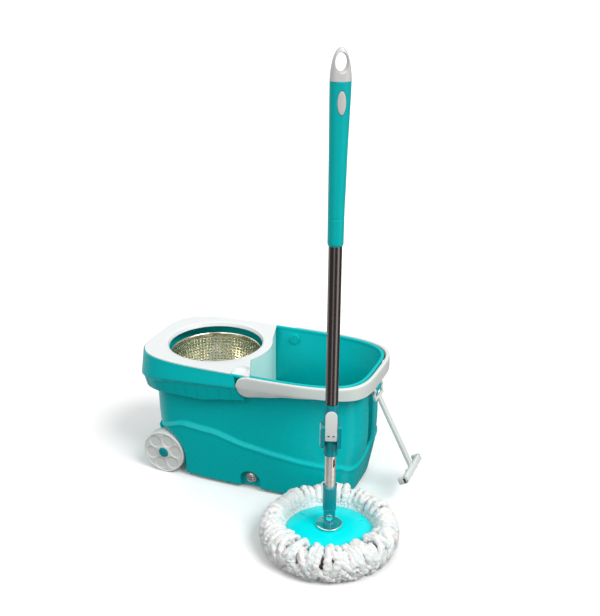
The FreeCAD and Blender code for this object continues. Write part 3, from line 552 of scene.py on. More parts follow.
def well(obj, side, grow):
    recess(obj, WELL_X, WELL_Z, WELL_R + grow, side * (WELL_FLOOR - grow), side * PAST_Y, PAST_LEFT, 96)


def drain_arch(obj, grow):
    radius = DRAIN_ARCH_R + grow
    recess(obj, DRAIN_X, DRAIN_ARCH_Z, radius, -PAST_Y, DRAIN_FLOOR_Y + grow, DRAIN_X - radius, 64)


def cavity_point(u, v):
    """A point of the tub's inside, rounded in at its floor."""
    z = BASE_Z + WALL + (WALL_TOP + 4 - BASE_Z - WALL) * v
    left, right, half = wall_outline(z)
    inset = WALL + 9 * max(0.0, 1 - v * 24) ** 2
    x, y = rim_point(math.tau * u, left + inset, right - inset, half - inset)
    return Vector((x, y, z))


def bucket_shell():
    """The outer wall less the cavity, which leaves the walls round the wells, the post and the drain."""
    shares = crowded([(0, 0.06, 5), (0.06, 0.86, 12), (0.86, 1.0, 6), (1.0, 1.09, 5), (1.09, 1.94, 12),
                      (1.94, 2.12, 8), (2.12, 3.0, 8)])
    last = len(shares) - 1
    outside = formed(288, last, lambda u, v: wall_point(math.tau * u, shares[round(v * last)]), fill=True)
    shell = as_object(outside, "bucket_shell")
    cavity = as_object(formed(192, 72, cavity_point, fill=True), "cavity")
    for side in (-1, 1):
        well(cavity, side, WALL)
    post = turned([(0, POST_TOP), (POST_TOP_R, POST_TOP), (POST_FOOT_R, 0), (0, 0)], 64)
    move(post, Matrix.Translation((BASKET_X, 0, 0)))
    carve(cavity, post)
    drain_arch(cavity, WALL)
    hollow = bmesh.new()
    hollow.from_mesh(cavity.data)
    bpy.data.objects.remove(cavity)
    carve(shell, hollow)
    for side in (-1, 1):
        well(shell, side, 0)
        carve(shell, drum(AXLE_BOSS_R, (WHEEL_X, side * (WELL_FLOOR - 1), WHEEL_R),
                          (WHEEL_X, side * AXLE_BOSS_Y, WHEEL_R)), "UNION")
    drain_arch(shell, 0)
    piece(lug_and_stubs(), "bucket_lug", BUCKET, "bucket", [], "teal_shell", angle=40)
    piece(shell, "bucket_shell", BUCKET, "bucket", ["bucket_body"], "teal_shell", angle=28)


def lug_and_stubs():
    """The tow handle's lug on the end wall, and the stubs behind the bail's bosses."""
    lug = block(LUG_ROOT_X, LUG_NOSE_X, -LUG_HALF, LUG_HALF, LUG_LOW, LUG_TOP)
    ease(lug, [edge for edge in lug.edges
               if all(v.co.x > LUG_NOSE_X - 1 and v.co.z < LUG_LOW + 1 for v in edge.verts)], 8, 6)
    ease(lug, [edge for edge in lug.edges if edge.calc_face_angle() > math.radians(60)], 1.4)
    stubs = [drum(STUB_R, (PIVOT_X, side * STUB_IN, PIVOT_Z), (PIVOT_X, side * STUB_OUT, PIVOT_Z))
             for side in (-1, 1)]
    return joined(lug, *stubs)


def bucket_rim():
    """Rolled edge round the wall's top, a step lower under the deck."""
    def rim_section(u, v):
        turn = math.tau * u
        x_out, y_out = rim_point(turn, -RIM_A, RIM_A, RIM_B)
        angle = math.atan2(y_out, x_out - BASKET_X)
        _, deck_here = deck_reach(angle)
        top = RIM_SEAT if deck_here else RIM_TOP
        around = math.tau * v
        low, half_wide = 249.5, 2.9
        half_high = (top - low) / 2
        inset = half_wide - half_wide * signed_power(math.cos(around), 0.5)
        z = low + half_high + half_high * signed_power(math.sin(around), 0.5)
        x, y = rim_point(turn, -RIM_A + inset, RIM_A - inset, RIM_B - inset)
        return Vector((x, y, z))

    piece(formed(384, 16, rim_section), "bucket_rim", BUCKET, "bucket", [], "teal_shell",
                 angle=60)


def skirt_point(turn, v):
    """Outer face of the skirt: v runs from the rim (0) over the crease (0.5) to the hem (1)."""
    x_rim, _ = rim_point(turn, -RIM_A, RIM_A, RIM_B)
    crease, hem = along(SKIRT_CREASE, x_rim), along(SKIRT_HEM, x_rim)
    if v < 0.5:
        t = v / 0.5
        z, out = RIM_SEAT - 0.4 + (crease - RIM_SEAT) * t, 5.2 * (t * 0.75 + 0.25 * smooth(t))
    else:
        t = (v - 0.5) / 0.5
        z, out = crease + (hem - crease) * t, 5.4 - 2.2 * smooth(t * 7) - 5.5 * t
        run = rib_run(turn) / RIB_SPACING
        near = abs(run - round(run)) * RIB_SPACING
        out += 1.1 * (1 - smooth(near / 1.4)) * smooth(t * 6) * (1 - smooth((t - 0.93) / 0.07))
    x, y = rim_point(turn, -RIM_A - out, RIM_A + out, RIM_B + out)
    return Vector((x, y, z))


def rib_run(turn):
    """Distance along the rim from the middle of the bucket's end."""
    x, y = rim_point(turn, -RIM_A, RIM_A, RIM_B)
    corner = RIM_B * 0.72
    return abs(y) if abs(y) < corner else corner + (x + RIM_A)


def bucket_skirt():
    rows, columns = 40, 520
    heights = [skirt_point(math.pi / 2, row / rows).z for row in range(rows + 1)]

    def place(u, v):
        low = math.acos(along(SKIRT_END, heights[round(v * rows)]) / 238.0)
        return skirt_point(low + (math.tau - 2 * low) * u, v)

    skirt = formed(columns, rows, place, close=False)
    piece(skirt, "bucket_skirt", BUCKET, "bucket", [], "teal_shell", thick=2.2, angle=50)


# ---- deck and basket ----
def basket_deck():
    """The flat deck in rows: the opening's lip, the top, the outer edge and the lip's back."""
    corners = [math.atan2(-RIM_B * 0.985, 29.5 - BASKET_X), math.atan2(RIM_B * 0.985, -25.5 - BASKET_X),
               DECK_ARC_HALF, -DECK_ARC_HALF]
    count = 240
    angles = [math.tau * k / count for k in range(count)]
    for corner in corners:
        nearest = min(range(count),
                      key=lambda k: abs((angles[k] - corner + math.pi) % math.tau - math.pi))
        angles[nearest] = corner
    lip = [(DECK_LIP_R + 2.2, DECK_LIP_Z + 0.6), (DECK_LIP_R + 0.6, DECK_LIP_Z),
           (DECK_LIP_R, DECK_LIP_Z + 0.8),
           (DECK_LIP_R + 0.3, 252.4), (DECK_LIP_R + 0.9, 254.4), (DECK_LIP_R + 2.2, 256.3),
           (OPENING_R, 257.5), (OPENING_R + 1.6, RIM_TOP)]
    back = [(OPENING_R + 4, RIM_SEAT), (DECK_LIP_R + 3.4, 253.8), (DECK_LIP_R + 2.8, 252.2)]
    flat_from = OPENING_R + 1.6
    rows = len(lip) + len(back) + 8

    def place(u, v):
        angle = angles[round(u * count) % count]
        reach = deck_reach(angle)[0] - 0.15
        flat = [(flat_from + (reach - flat_from) * share, RIM_TOP) for share in (0.25, 0.5, 0.75, 0.92)]
        edge = [(reach - 1.0, RIM_TOP), (reach - 0.25, RIM_TOP - 0.35), (reach, RIM_TOP - 1.0),
                (reach, RIM_SEAT + 0.1)]
        radius, z = (lip + flat + edge + back)[round(v * rows) % rows]
        return Vector((BASKET_X + radius * math.cos(angle), radius * math.sin(angle), z))

    deck = as_object(formed(count, rows, place), "deck_top")
    carve(deck, scoop_form(1.6, RIM_TOP - 0.8), "UNION")
    carve(deck, scoop_form(0.0, RIM_TOP + 2))
    piece(deck, "deck_top", BUCKET, "deck", ["basket_deck"], "white_deck", angle=32)


def scoop_form(grow, top):
    """A U-shaped finger scoop's hollow: round at its inner end and at its floor."""
    half, deep = SCOOP_HALF + grow, SCOOP_DEEP + grow
    front = -118.0 if grow else -130.0
    form = block(SCOOP_MID_X - half, SCOOP_MID_X + half, front, -86.0 + grow, RIM_TOP - deep, top)
    ease(form, [edge for edge in form.edges if abs(edge.verts[0].co.z - edge.verts[1].co.z) > 1
                and edge.verts[0].co.y > -100], half * 0.9, 8)
    ease(form, [edge for edge in form.edges
                if max(v.co.z for v in edge.verts) < RIM_TOP - deep + 0.1], 4.0, 4)
    return form


def splash_wall():
    """Curved wall that hangs from the deck's inner edge into the tub."""
    def place(u, v):
        front = math.atan2(-112.0, 24.0 - BASKET_X)
        back = math.atan2(112.0, -22.0 - BASKET_X)
        angle = front + (back - front) * u
        reach, _ = deck_reach(angle)
        z = SPLASH_FOOT_Z + (RIM_SEAT + 1.5 - SPLASH_FOOT_Z) * v
        x, y = BASKET_X + (reach - 0.4) * math.cos(angle), (reach - 0.4) * math.sin(angle)
        return Vector((x, max(-SPLASH_HALF, min(SPLASH_HALF, y)), z))

    piece(formed(120, 12, place, close=False), "splash_wall", BUCKET, "deck", [], "white_deck", "splash_aqua",
          thick=2.2, angle=40)


def spin_basket():
    """Thin steel bowl: square pitch of round holes up its wall, and a rolled rim."""
    columns, rows = 74, 10
    wall_low, wall_high = BASKET_FLOOR_Z + 5, 229.0

    def wall_radius(z):
        low_r, high_r, high_z = 81.6, 88.2, 232.0
        return low_r + (high_r - low_r) * (z - wall_low) / (high_z - wall_low)

    def place(u, v):
        z = wall_low + (wall_high - wall_low) * v
        return round_point(wall_radius(z), u, z)

    sheet = formed(columns, rows, place)
    cells = [face for face in sheet.faces if len(face.verts) == 4]
    bmesh.ops.inset_individual(sheet, faces=cells, thickness=1.5, use_even_offset=True)
    bmesh.ops.delete(sheet, geom=cells, context="FACES")
    for vert in sheet.verts:
        radius = wall_radius(vert.co.z)
        flat = math.hypot(vert.co.x, vert.co.y)
        vert.co.x, vert.co.y = vert.co.x * radius / flat, vert.co.y * radius / flat
    rim = turned([(wall_radius(wall_high), wall_high), (88.0, 231.5), (88.6, 234.0), (88.9, 236.6),
                  (89.8, 238.4), (91.2, 238.8), (92.0, 237.6), (91.9, 236.0), (90.9, 235.0), (89.9, 235.3)],
                 columns)
    floor = turned([(HUB_R + 0.2, BASKET_FLOOR_Z), (40.0, BASKET_FLOOR_Z), (70.0, BASKET_FLOOR_Z),
                    (77.0, BASKET_FLOOR_Z + 1.2), (80.6, BASKET_FLOOR_Z + 3.2),
                    (wall_radius(wall_low), wall_low)], columns)
    basket = closed(joined(sheet, rim, floor), 0.02)
    move(basket, Matrix.Translation((BASKET_X, 0, 0)))
    piece(basket, "spin_basket_sheet", BUCKET, "basket", ["spin_basket"], "basket_steel",
                 thick=0.5, subsurf=1, angle=50)


# ---- handles ----
def bail_handle():
    """A half hoop whose section leans in below a crease, closed by a round boss at each pivot."""
    wide_a, wide_b = BAIL_OUT_A - BAIL_IN_A, BAIL_OUT_B - BAIL_IN_B

    def place(u, v):
        turn = math.pi * (u - 0.035 * math.sin(4 * math.pi * u)) - math.pi / 2
        x_mid, _ = rim_point(turn, -BAIL_OUT_A, BAIL_OUT_A, BAIL_OUT_B)
        top, bottom = BAIL_TOP, along(BAIL_HEM, x_mid)
        crease = along(BAIL_CREASE, x_mid)
        if x_mid < PIVOT_X:
            rise = math.sqrt(max(0.0, BAIL_BOSS_R ** 2 - (x_mid - PIVOT_X) ** 2))
            top, bottom = min(top, PIVOT_Z + rise), max(bottom, PIVOT_Z - rise)
            crease = PIVOT_Z + (crease - PIVOT_Z) * rise / BAIL_BOSS_R
        cut = 4.2 * (1 - smooth((x_mid - 30) / 160))
        soft = min(1.6, (top - bottom) * 0.2)
        section = ((0.0, bottom + soft), (0.12, bottom + soft * 0.3), (0.3, bottom),
                   (0.85 - cut / wide_b * 0.9, bottom), (0.97 - cut / wide_b * 0.9, bottom + soft * 0.5),
                   (1 - cut / wide_b * 0.8, bottom + soft), (1 - cut / wide_b * 0.15, crease - 1.2),
                   (1.0, crease + 0.5), (1.0, crease + (top - crease) * 0.5), (0.97, top - soft * 1.8),
                   (0.9, top - soft * 0.8), (0.72, top - 0.2), (0.5, top), (0.2, top),
                   (0.05, top - soft * 0.4), (0.0, top - soft))
        out, z = section[round(v * len(section)) % len(section)]
        x, y = rim_point(turn, -BAIL_IN_A - out * wide_a, BAIL_IN_A + out * wide_a, BAIL_IN_B + out * wide_b)
        return Vector((x, y, z))

    band = formed(220, 16, place, fill=True)
    piece(band, "bail_band", BUCKET, "bail", ["bail_handle"], "pale_grey", subsurf=1, angle=50)


def tow_handle():
    """Fork over the lug, slim shaft slanting out from it, and a flat T-bar with both ends hooked back."""
    low, forward = TOW_Z - FORK_DROP, TOW_X + FORK_FORWARD
    parts = []
    for side in (-1, 1):
        y0, y1 = sorted((side * FORK_IN, side * FORK_OUT))
        parts.append(drum(5.8, (TOW_X, y0, TOW_Z), (TOW_X, y1, TOW_Z), 40, 0.9))
        arm = block(-2.9, 2.9, y0, y1, -19.0, 0, 1.1)
        for vert in arm.verts:
            vert.co.x -= vert.co.z * FORK_FORWARD / FORK_DROP
        move(arm, Matrix.Translation((TOW_X, 0, TOW_Z)))
        parts.append(arm)
    parts.append(block(forward - 2.8, forward + 2.8, -FORK_OUT, FORK_OUT, low - 2.8, low + 2.8, 2.2))
    foot = -SHAFT_LENGTH - TEE_DEEP / 2
    shank = [tapered_bar(6.6, 6.2, 0, -SHAFT_LENGTH, 3.2), tapered_bar(2.0, 1.8, -4, -SHAFT_LENGTH + 4, 4.2),
             block(-TEE_THICK, TEE_THICK, -TEE_HALF, TEE_HALF, foot, foot + TEE_DEEP, 2.4)]
    for side in (-1, 1):  # the hooked ends, then the bands either side of the shaft
        y0, y1 = sorted((side * 42.5, side * TEE_HALF))
        shank.append(block(-TEE_DEEP, TEE_THICK, y0, y1, foot, foot + TEE_DEEP, 2.4))
        y0, y1 = sorted((side * 14, side * 19))
        shank.append(block(-6.4, TEE_THICK + 0.4, y0, y1, foot - 0.6, foot + TEE_DEEP + 0.6, 1.6))
    shank = joined(*shank)
    move(shank, Matrix.Translation((forward + 1.0, 0, low - 1.5)) @ Matrix.Rotation(-TOW_ANGLE, 4, "Y"))
    piece(joined(shank, *parts), "tow_bar_moulding", BUCKET, "tow_bar", ["tow_handle"], "pale_grey", angle=40)


def tapered_bar(half_top, half_low, z_top, z_low, half_thick):
    """An upright flat bar whose half width changes from its top to its foot."""
    bar = block(-half_thick, half_thick, -1, 1, z_low, z_top)
    for vert in bar.verts:
        vert.co.y *= half_top if vert.co.z > (z_top + z_low) / 2 else half_low
    ease(bar, bar.edges, 1.0, 2)
    return bar


# ---- wheels ----
def laid(shape, side):
    """Lay a shape drawn about Z on a wheel's axle, facing outwards."""
    move(shape, Matrix.Translation((WHEEL_X, 0, WHEEL_R)) @ Matrix.Rotation(-side * math.pi / 2, 4, "X"))
    return shape


def wheel_shape():
    """A shallow drum whose face carries round hollows about a raised boss."""
    face, bore_r, sunk = WHEEL_FACE, 4.05, 1.2
    flat = [(41.4 - 26.2 * step / 26, face - sunk) for step in range(27)]
    body = turned(rounded_profile([
        (bore_r, face - 5), (bore_r, WHEEL_BACK), (11.0, WHEEL_BACK), (11.0, WHEEL_WEB), (38.0, WHEEL_WEB),
        (39.5, WHEEL_BACK), (WHEEL_R, WHEEL_BACK), (WHEEL_R, face - 1.0), (42.4, face - 0.2)], 1.0, 2)
        + flat + [(12.9, face), (10.7, face), (10.7, face - 5), (bore_r, face - 5)], 144)
    turns = [k * math.tau / HOLLOW_COUNT + 0.2 for k in range(HOLLOW_COUNT)]
    for vert in body.verts:
        if abs(vert.co.z - face + sunk) > 0.01:
            continue
        nearest = min(math.hypot(vert.co.x - HOLLOW_AT_R * math.cos(turn),
                                 vert.co.y - HOLLOW_AT_R * math.sin(turn)) for turn in turns)
        vert.co.z -= HOLLOW_DEEP * smooth((HOLLOW_R - nearest) / 1.8)
    return body


def wheels():
    for side, label in ((-1, "front"), (1, "rear")):
        body = label + "_wheel"
        piece(laid(wheel_shape(), side), "wheel_" + label + "_moulding", BUCKET, body, ["wheel_" + label],
              "pale_grey", angle=40)
        cap = turned(rounded_profile([(0, 111.5), (8.2, 111.2), (10.5, WHEEL_FACE), (10.5, 107.6),
                                      (0, 107.6)], 0.8), 48)
        piece(laid(cap, side), "wheel_cap_" + label + "_dome", BUCKET, body, ["wheel_cap_" + label],
              "teal_trim")


def drain_plug():
    knob = turned(rounded_profile([(0, 9.6), (6.0, 9.0), (10.4, 6.6), (12.5, 2.4), (12.5, 0.0), (9.0, 0.0),
                                   (9.0, -12.0), (0, -12.0)], 1.6), 64)
    knob = as_object(knob, "knob")
    for end in (-1, 1):
        carve(knob, block(-14, 14, *sorted((end * 2.0, end * 3.0)), 4.6, 12))
    lay = Matrix.Translation((DRAIN_X, DRAIN_FLOOR_Y - 1.4, DRAIN_Z)) @ Matrix.Rotation(math.pi / 2, 4, "X")
    knob.data.transform(lay)
    piece(knob, "drain_knob", BUCKET, "drain_screw", ["drain_plug"], "drain_grey", angle=40)


# ---- mop head ----
def mop_disc():
    """The disc's domed top and its underside, with the collar the ring sits on, and three low ribs."""
    profile = [(7.05, 24.5), (7.05, 41.4), (24.0, 41.8), (30.0, 41.4), (36.0, 41.2), (52.0, 39.4),
               (68.0, 36.0), (76.5, 33.4), (79.2, 31.6), (DISC_R, 29.4), (79.6, 27.4), (78.0, 27.2),
               (77.0, 29.4), (67.0, 33.0), (49.5, 36.6), (49.5, 20.0), (46.5, 20.0), (46.5, 37.0),
               (24.0, 38.8), (16.0, 38.8), (16.0, 24.5), (7.05, 24.5)]
    parts = [turned(profile, 128)]
    for k in range(3):
        rib = block(-0.6, 0.6, 30, 66, 37.6, 38.6)
        move(rib, Matrix.Rotation(math.tau * k / 3 + 0.9, 4, "Z"))
        parts.append(rib)
    piece(joined(*parts), "mop_disc_moulding", MOP, "mop_head", ["mop_disc"], "turquoise",
                 angle=40)


def strand(rng, turn, layer):
    """One chenille loop: out from the ring, over the disc's edge and down to the floor, lumpy all along."""
    front = smooth((math.cos(turn + math.pi / 2) + 0.1) / 0.8)  # some front loops flop in over the disc
    thick = rng.uniform(5.4, 7.2)
    lift = rng.uniform(-3.5, 2.0)
    flop = rng.uniform(0, 1) * front
    if layer == 0 and flop > 0.15:
        inner = 90 - 19 * flop
        points = [(inner + 9, 38), (inner, 41), (inner + 3, 50), (98, 53.5 + lift), (109, 50.5 + lift),
                  (116.5, 42), (119, 31), (115, 20), (107, 12), (99, 9)]
    elif layer == 0:
        rise = rng.uniform(0, 7) * (1 - front)
        points = [(79, 22), (89, 32), (91, 45 + lift), (99, 52 + lift + rise), (109, 50.5 + lift + rise),
                  (118.5, 41 + rise / 2), (121.5, 30), (118, 19), (109, 11), (100, 8)]
    elif layer == 1:
        points = [(79, 20), (91, 33), (98, 46 + lift), (108, 43 + lift), (114.5, 35), (116.5, 25), (112, 15),
                  (102, 10)]
    else:
        points = [(76, 13), (90, 10), (102, 7.5), (111, 9), (117, 15), (119, 24), (116, 33 + lift)]
    sway = rng.uniform(-0.14, 0.14) * (1 + 1.2 * front)
    curl = rng.uniform(-0.07, 0.07) * (1 + front)
    seed = Vector([rng.uniform(0, 90) for _ in range(3)])
    spine = []
    for k, (radius, z) in enumerate(points):
        share = k / (len(points) - 1)
        angle = turn + sway * share ** 1.5 + curl * math.sin(share * 5)
        spine.append(Vector((radius * math.cos(angle), radius * math.sin(angle), z)))

    def centre(t):
        t = min(0.9999, max(0.0, t)) * (len(spine) - 1)
        k = int(t)
        f = t - k
        p0, p1 = spine[max(0, k - 1)], spine[k]
        p2, p3 = spine[k + 1], spine[min(len(spine) - 1, k + 2)]
        return 0.5 * ((2 * p1) + (p2 - p0) * f + (2 * p0 - 5 * p1 + 4 * p2 - p3) * f * f
                      + (3 * p1 - p0 - 3 * p2 + p3) * f ** 3)

    def place(u, v):
        here, ahead = centre(v), centre(v + 0.02) if v < 0.97 else centre(v)
        back = centre(v - 0.02)
        direction = (ahead - back).normalized()
        side = direction.cross(Vector((0, 0, 1)))
        side = side.normalized() if side.length > 0.05 else Vector((math.sin(turn), -math.cos(turn), 0))
        up = side.cross(direction)
        around = math.tau * u
        ends = math.sqrt(max(0.02, 1 - (2 * v - 1) ** 10))
        spot = here * 0.16 + seed + Vector((math.cos(around), math.sin(around), 0)) * 0.55
        lump = 1 + 0.35 * noise.noise(spot) + 0.75 * noise.noise(spot * 3.1)
        radius = thick * ends * lump
        point = here + (side * math.cos(around) + up * math.sin(around)) * radius
        flat = math.hypot(point.x, point.y)
        reach = STRAND_R - 3 - 5 * (1 - smooth(point.z / 22))
        if flat > reach:
            point.x, point.y = point.x * reach / flat, point.y * reach / flat
        point.z = max(0.4, point.z)
        return point

    return formed(10, 42, place, fill=True)


def mop_strands():
    """Loops in three layers, cut into sectors so that each stays a light mesh."""
    rng = random.Random(7)
    sectors = 6
    bins = [[] for _ in range(sectors)]
    for layer, count in ((0, 84), (1, 70), (2, 60)):
        for k in range(count):
            turn = math.tau * (k + 0.5 * layer + rng.uniform(-0.3, 0.3)) / count
            sector = int(turn / (math.tau) * sectors) % sectors
            bins[sector].append(strand(rng, turn, layer))
    for index, shapes in enumerate(bins):
        tuft = joined(*shapes)
        piece(tuft, f"strands_{index + 1}", MOP, "mop_head", ["mop_strands"], "microfibre",
              subsurf=1, angle=180)


# ---- pole ----
def grip_radius(z):
    """Half width and half depth of the grip's section."""
    return (along(((GRIP_LOW, 13.0), (GRIP_SEAM, 13.2), (700.0, 14.4), (GRIP_TOP, 17.0)), z),
            along(((GRIP_LOW, 13.0), (GRIP_SEAM, 13.2), (700.0, 13.0), (GRIP_TOP, 12.8)), z))


def grip_drift(z):
    """The grip's section wanders a little to one side as it rises."""
    return along(((GRIP_SEAM, 0.0), (700.0, 0.8), (GRIP_TOP, 2.2)), z)


def grip_shape():
    heights = crowded([(GRIP_LOW, GRIP_LOW + 3, 4), (GRIP_LOW + 3, GRIP_SEAM - 1.6, 8),
                       (GRIP_SEAM - 1.6, GRIP_SEAM + 1.6, 6), (GRIP_SEAM + 1.6, GRIP_TOP - 2, 28),
                       (GRIP_TOP - 2, GRIP_TOP, 3)])
    last = len(heights) - 1

    def place(u, v):
        z = heights[round(v * last)]
        wide, deep = grip_radius(z)
        soft = 1.2 * (1 - smooth((z - GRIP_LOW) / 3)) + 0.35 * max(0.0, 1 - abs(z - GRIP_SEAM) / 1.2)
        soft += 0.6 * smooth((z - GRIP_TOP + 1.2) / 1.2)
        around = math.tau * u
        return Vector((grip_drift(z) + (wide - soft) * math.cos(around), (deep - soft) * math.sin(around), z))

    sleeve = as_object(formed(64, last, place, fill=True), "grip_sleeve")

    def pocket_point(u, v):
        around = math.tau * u
        return Vector((INLAY_X + (INLAY_HALF + 1) * math.cos(around), -20 + 8.9 * v,
                       INLAY_Z + (INLAY_TALL + 1) * math.sin(around)))

    return carve(sleeve, formed(64, 1, pocket_point, fill=True))


def loop_cap():
    """Hanging loop: an egg-shaped frame, thick at its foot and thin over the top."""
    cap = as_object(formed(32, 48, cap_point, fill=True), "loop_cap")
    carve(cap, hole_form())
    cap.data.transform(Matrix.Translation((LOOP_MID_X, 0, 0)))
    return cap


def cap_point(u, v):
    z = GRIP_TOP + (CAP_TOP - GRIP_TOP) * (0.5 - 0.5 * math.cos(math.pi * v))
    share = (z - GRIP_TOP) / (CAP_TOP - GRIP_TOP)
    half = LOOP_HALF * math.sqrt(max(0.0, 1 - share ** 2.6)) * (1 - 0.16 * share)
    deep = LOOP_DEEP * (1 - share) + 7.0 * share
    deep *= math.sqrt(max(0.0, 1 - share ** 6))
    around = math.tau * u
    x, y = half * signed_power(math.cos(around), 0.85), deep * signed_power(math.sin(around), 0.85)
    return Vector((x, y, z))


def hole_form():
    """An oval hole that flares towards both faces."""
    def place(u, v):
        y = -20 + 40 * v
        flare = 1 + 0.012 * abs(y) ** 1.4
        around = math.tau * u
        return Vector((HOLE_HALF * flare * math.cos(around), y,
                       HOLE_Z + HOLE_TALL * flare ** 0.6 * math.sin(around)))

    return formed(48, 12, place, fill=True)


def inlay_shape():
    """A thin oval that follows the grip's face and stands a little proud of it."""
    def place(u, v):
        around = math.tau * u
        reach = (1.0, 0.98, 0.9, 0.6, 0.0)[round(v * 4)]
        proud = (-1.6, 0.0, 0.3, 0.4, 0.4)[round(v * 4)]
        x = INLAY_X + INLAY_HALF * reach * math.cos(around)
        z = INLAY_Z + INLAY_TALL * reach * math.sin(around)
        wide, deep = grip_radius(z)
        return Vector((x, -deep * math.sqrt(1 - ((x - grip_drift(z)) / wide) ** 2) - proud, z))

    return formed(48, 4, place)


def grip_parts():
    piece(grip_shape(), "grip_sleeve", GRIP, "upper_pole", ["grip"], "teal_grip", angle=50)
    # the loop and the oval wear the darkened white: painted shade
    piece(loop_cap(), "hanging_loop", GRIP, "upper_pole", ["grip_end_cap"], "white_deck", "loop_white_painted_shade",
          angle=50)
    piece(inlay_shape(), "grip_oval", GRIP, "upper_pole", ["grip_inlay"], "white_deck", "loop_white_painted_shade",
          angle=60)


# ---- carried-over parts ----
EASED = (
    ("lock_collar", "upper_pole", "teal_trim", 0.6), ("collar_cap", "upper_pole", "pale_grey", 0.6),
    ("lock_lever", "lever", "pale_grey", 0.6), ("yoke", "lower_pole", "teal_trim", 0.5),
    ("socket_sleeve", "lower_pole", "teal_trim", 0.4), ("swivel_foot", "swivel", "teal_trim", 0.4),
    ("hinge_pin", "lower_pole", "bright_steel", 0.4), ("washer_plate", "swivel", "bright_steel", 0.3),
    ("tube_rivet", "lower_pole", "bright_steel", 0.2), ("basket_hub", "basket", "white_deck", 0.8),
    ("outer_tube", "upper_pole", "dark_tube", 0.2),
)


def inner_tube():
    """The lower tube, with the long slot near its clamp."""
    tube = formed(64, 1, lambda u, v: round_point(TUBE_R, u, TUBE_LOW + TUBE_LENGTH * v))
    tube = as_object(tube, "inner_tube_wall")
    slot = block(6, 12, -1.8, 1.8, 165, 181)
    move(slot, Matrix.Rotation(math.radians(-50), 4, "Z"))
    thicken(tube, 1.0)
    settled(tube)
    carve(tube, slot)
    piece(tube, "inner_tube_wall", POLE, "lower_pole", ["inner_tube"], "bright_steel", "satin_steel")


def lever_shade_studs():
    """Two small recesses low on the lever's face, whose shade is painted: black studs stand in for it."""
    studs = [drum(1.9, (x, -21.9, 234.5), (x, -20.0, 234.5), 20) for x in (-4.4, 4.4)]
    # the black rubber look paints the recesses' shade
    piece(joined(*studs), "lever_shade_studs", POLE, "lever", [], "pale_grey", "black_rubber")


def carried_over():
    inner_tube()
    lever_shade_studs()
    for node, body, slot, bevel in EASED:
        piece(cad_copy(node), node + "_eased", Matrix.Identity(4), body, [node], slot, bevel=bevel)
    slots = {row["node"]: row["material_slot"] for row in frame["record"]["subparts"]}
    for node, obj in frame["nodes"].items():
        if obj.hide_render:
            continue
        obj.data.materials.clear()
        obj.data.materials.append(LOOKS[slots[node]])
        for face in obj.data.polygons:
            face.use_smooth = False


# ---- studio: soft panels by bearing, half width and strength, and suns by power, spread and aim ----
PANELS = ((-8.0, 14.0, 1.5), (164.0, 22.0, 0.8), (-84.0, 7.0, 1.0))
ROOM_DARK, AMBIENT, BACKDROP = 0.14, (0.16, 0.74), 1.05
SUNS = (("key", 2.2, 30, (-0.95, 0.35, -1.1)), ("fill", 0.6, 50, (0.35, 0.9, -0.8)))
CAMERA_TURN, CAMERA_DIP, LENS = math.radians(21.865), math.radians(21.827), 58.44
CAMERA_SPOT = (741.853, -1653.602, 1070.631)


def ranged(tree, value, given, put, easing="SMOOTHSTEP"):
    """A value mapped from one range to another."""
    node = tree.nodes.new("ShaderNodeMapRange")
    node.interpolation_type = easing
    for label, number in zip(("From Min", "From Max", "To Min", "To Max"), given + put):
        node.inputs[label].default_value = number
    tree.links.new(value, node.inputs["Value"])
    return node.outputs["Result"]


def vector_math(tree, operation, value, other=(0, 0, 0)):
    node = tree.nodes.new("ShaderNodeVectorMath")
    node.operation = operation
    tree.links.new(value, node.inputs[0])
    node.inputs[1].default_value = other
    return node.outputs


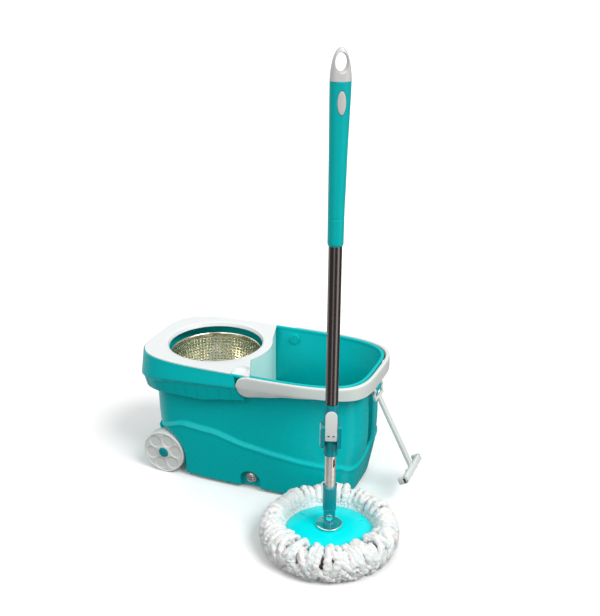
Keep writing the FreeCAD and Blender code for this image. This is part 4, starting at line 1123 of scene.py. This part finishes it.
def world_look(world):
    """White behind everything, even light for shading, and a dark room with soft panels in reflections."""
    world.use_nodes = True
    tree = world.node_tree
    nodes, links = tree.nodes, tree.links
    where = nodes.new("ShaderNodeTexCoord").outputs["Generated"]
    flat = vector_math(tree, "MULTIPLY", where, (1, 1, 0))["Vector"]
    level = vector_math(tree, "NORMALIZE", flat)["Vector"]
    height = nodes.new("ShaderNodeSeparateXYZ")
    links.new(where, height.inputs["Vector"])
    height = height.outputs["Z"]
    room = ranged(tree, height, (0.25, 0.75), (ROOM_DARK, 0.9))
    for bearing, half_width, strength in PANELS:
        toward = (math.cos(math.radians(bearing)), math.sin(math.radians(bearing)), 0)
        facing = vector_math(tree, "DOT_PRODUCT", level, toward)["Value"]
        edges = math.cos(math.radians(half_width * 1.5)), math.cos(math.radians(half_width * 0.7))
        plus = nodes.new("ShaderNodeMath")
        links.new(room, plus.inputs[0])
        links.new(ranged(tree, facing, edges, (0.0, strength)), plus.inputs[1])
        room = plus.outputs["Value"]
    even = ranged(tree, height, (-0.5, 0.6), AMBIENT, "LINEAR")
    path = nodes.new("ShaderNodeLightPath").outputs
    shading = mixed(tree, path["Is Glossy Ray"], even, room)
    seen = mixed(tree, path["Is Camera Ray"], shading, BACKDROP)
    back = nodes["Background"].inputs
    links.new(seen, back["Strength"])
    back["Color"].default_value = (1, 1, 1, 1)


def studio():
    scene = bpy.context.scene
    scene.view_settings.view_transform = "Standard"
    floor = formed(8, 8, lambda u, v: Vector((-60 + 120 * u, -60 + 120 * v, 0)), close=False)
    floor = as_object(floor, "studio_floor")
    white = bpy.data.materials.new("studio_white")
    white.use_nodes = True
    for label, value in (("Base Color", (0.95, 0.95, 0.95, 1)), ("Roughness", 0.9),
                         ("Specular IOR Level", 0.0)):
        white.node_tree.nodes["Principled BSDF"].inputs[label].default_value = value
    floor.data.materials.append(white)
    floor.visible_glossy = floor.visible_diffuse = False
    world = bpy.data.worlds.new("studio_sky")
    scene.world = world
    world_look(world)
    for name, power, spread, toward in SUNS:
        light = bpy.data.lights.new(name, "SUN")
        light.energy, light.angle = power, math.radians(spread)
        lamp = bpy.data.objects.new(name, light)
        lamp.rotation_euler = Vector(toward).to_track_quat("-Z", "Y").to_euler()
        scene.collection.objects.link(lamp)
    view = bpy.data.cameras.new("view")
    view.lens = LENS
    camera = bpy.data.objects.new("view", view)
    camera.matrix_world = camera_place()
    scene.collection.objects.link(camera)
    scene.camera = camera


def camera_place():
    """The view: turned a little round the bucket's left, and looking down."""
    turn, dip = CAMERA_TURN, CAMERA_DIP
    right = Vector((math.cos(turn), math.sin(turn), 0))
    up = Vector((-math.sin(turn) * math.sin(dip), math.cos(turn) * math.sin(dip), math.cos(dip)))
    toward = right.cross(up)
    place = Matrix((right, up, toward)).transposed().to_4x4()
    place.translation = BUCKET @ Vector(CAMERA_SPOT)
    return place


studio()
bucket_shell()
bucket_rim()
bucket_skirt()
basket_deck()
splash_wall()
spin_basket()
bail_handle()
tow_handle()
wheels()
drain_plug()
mop_disc()
mop_strands()
grip_parts()
carried_over()
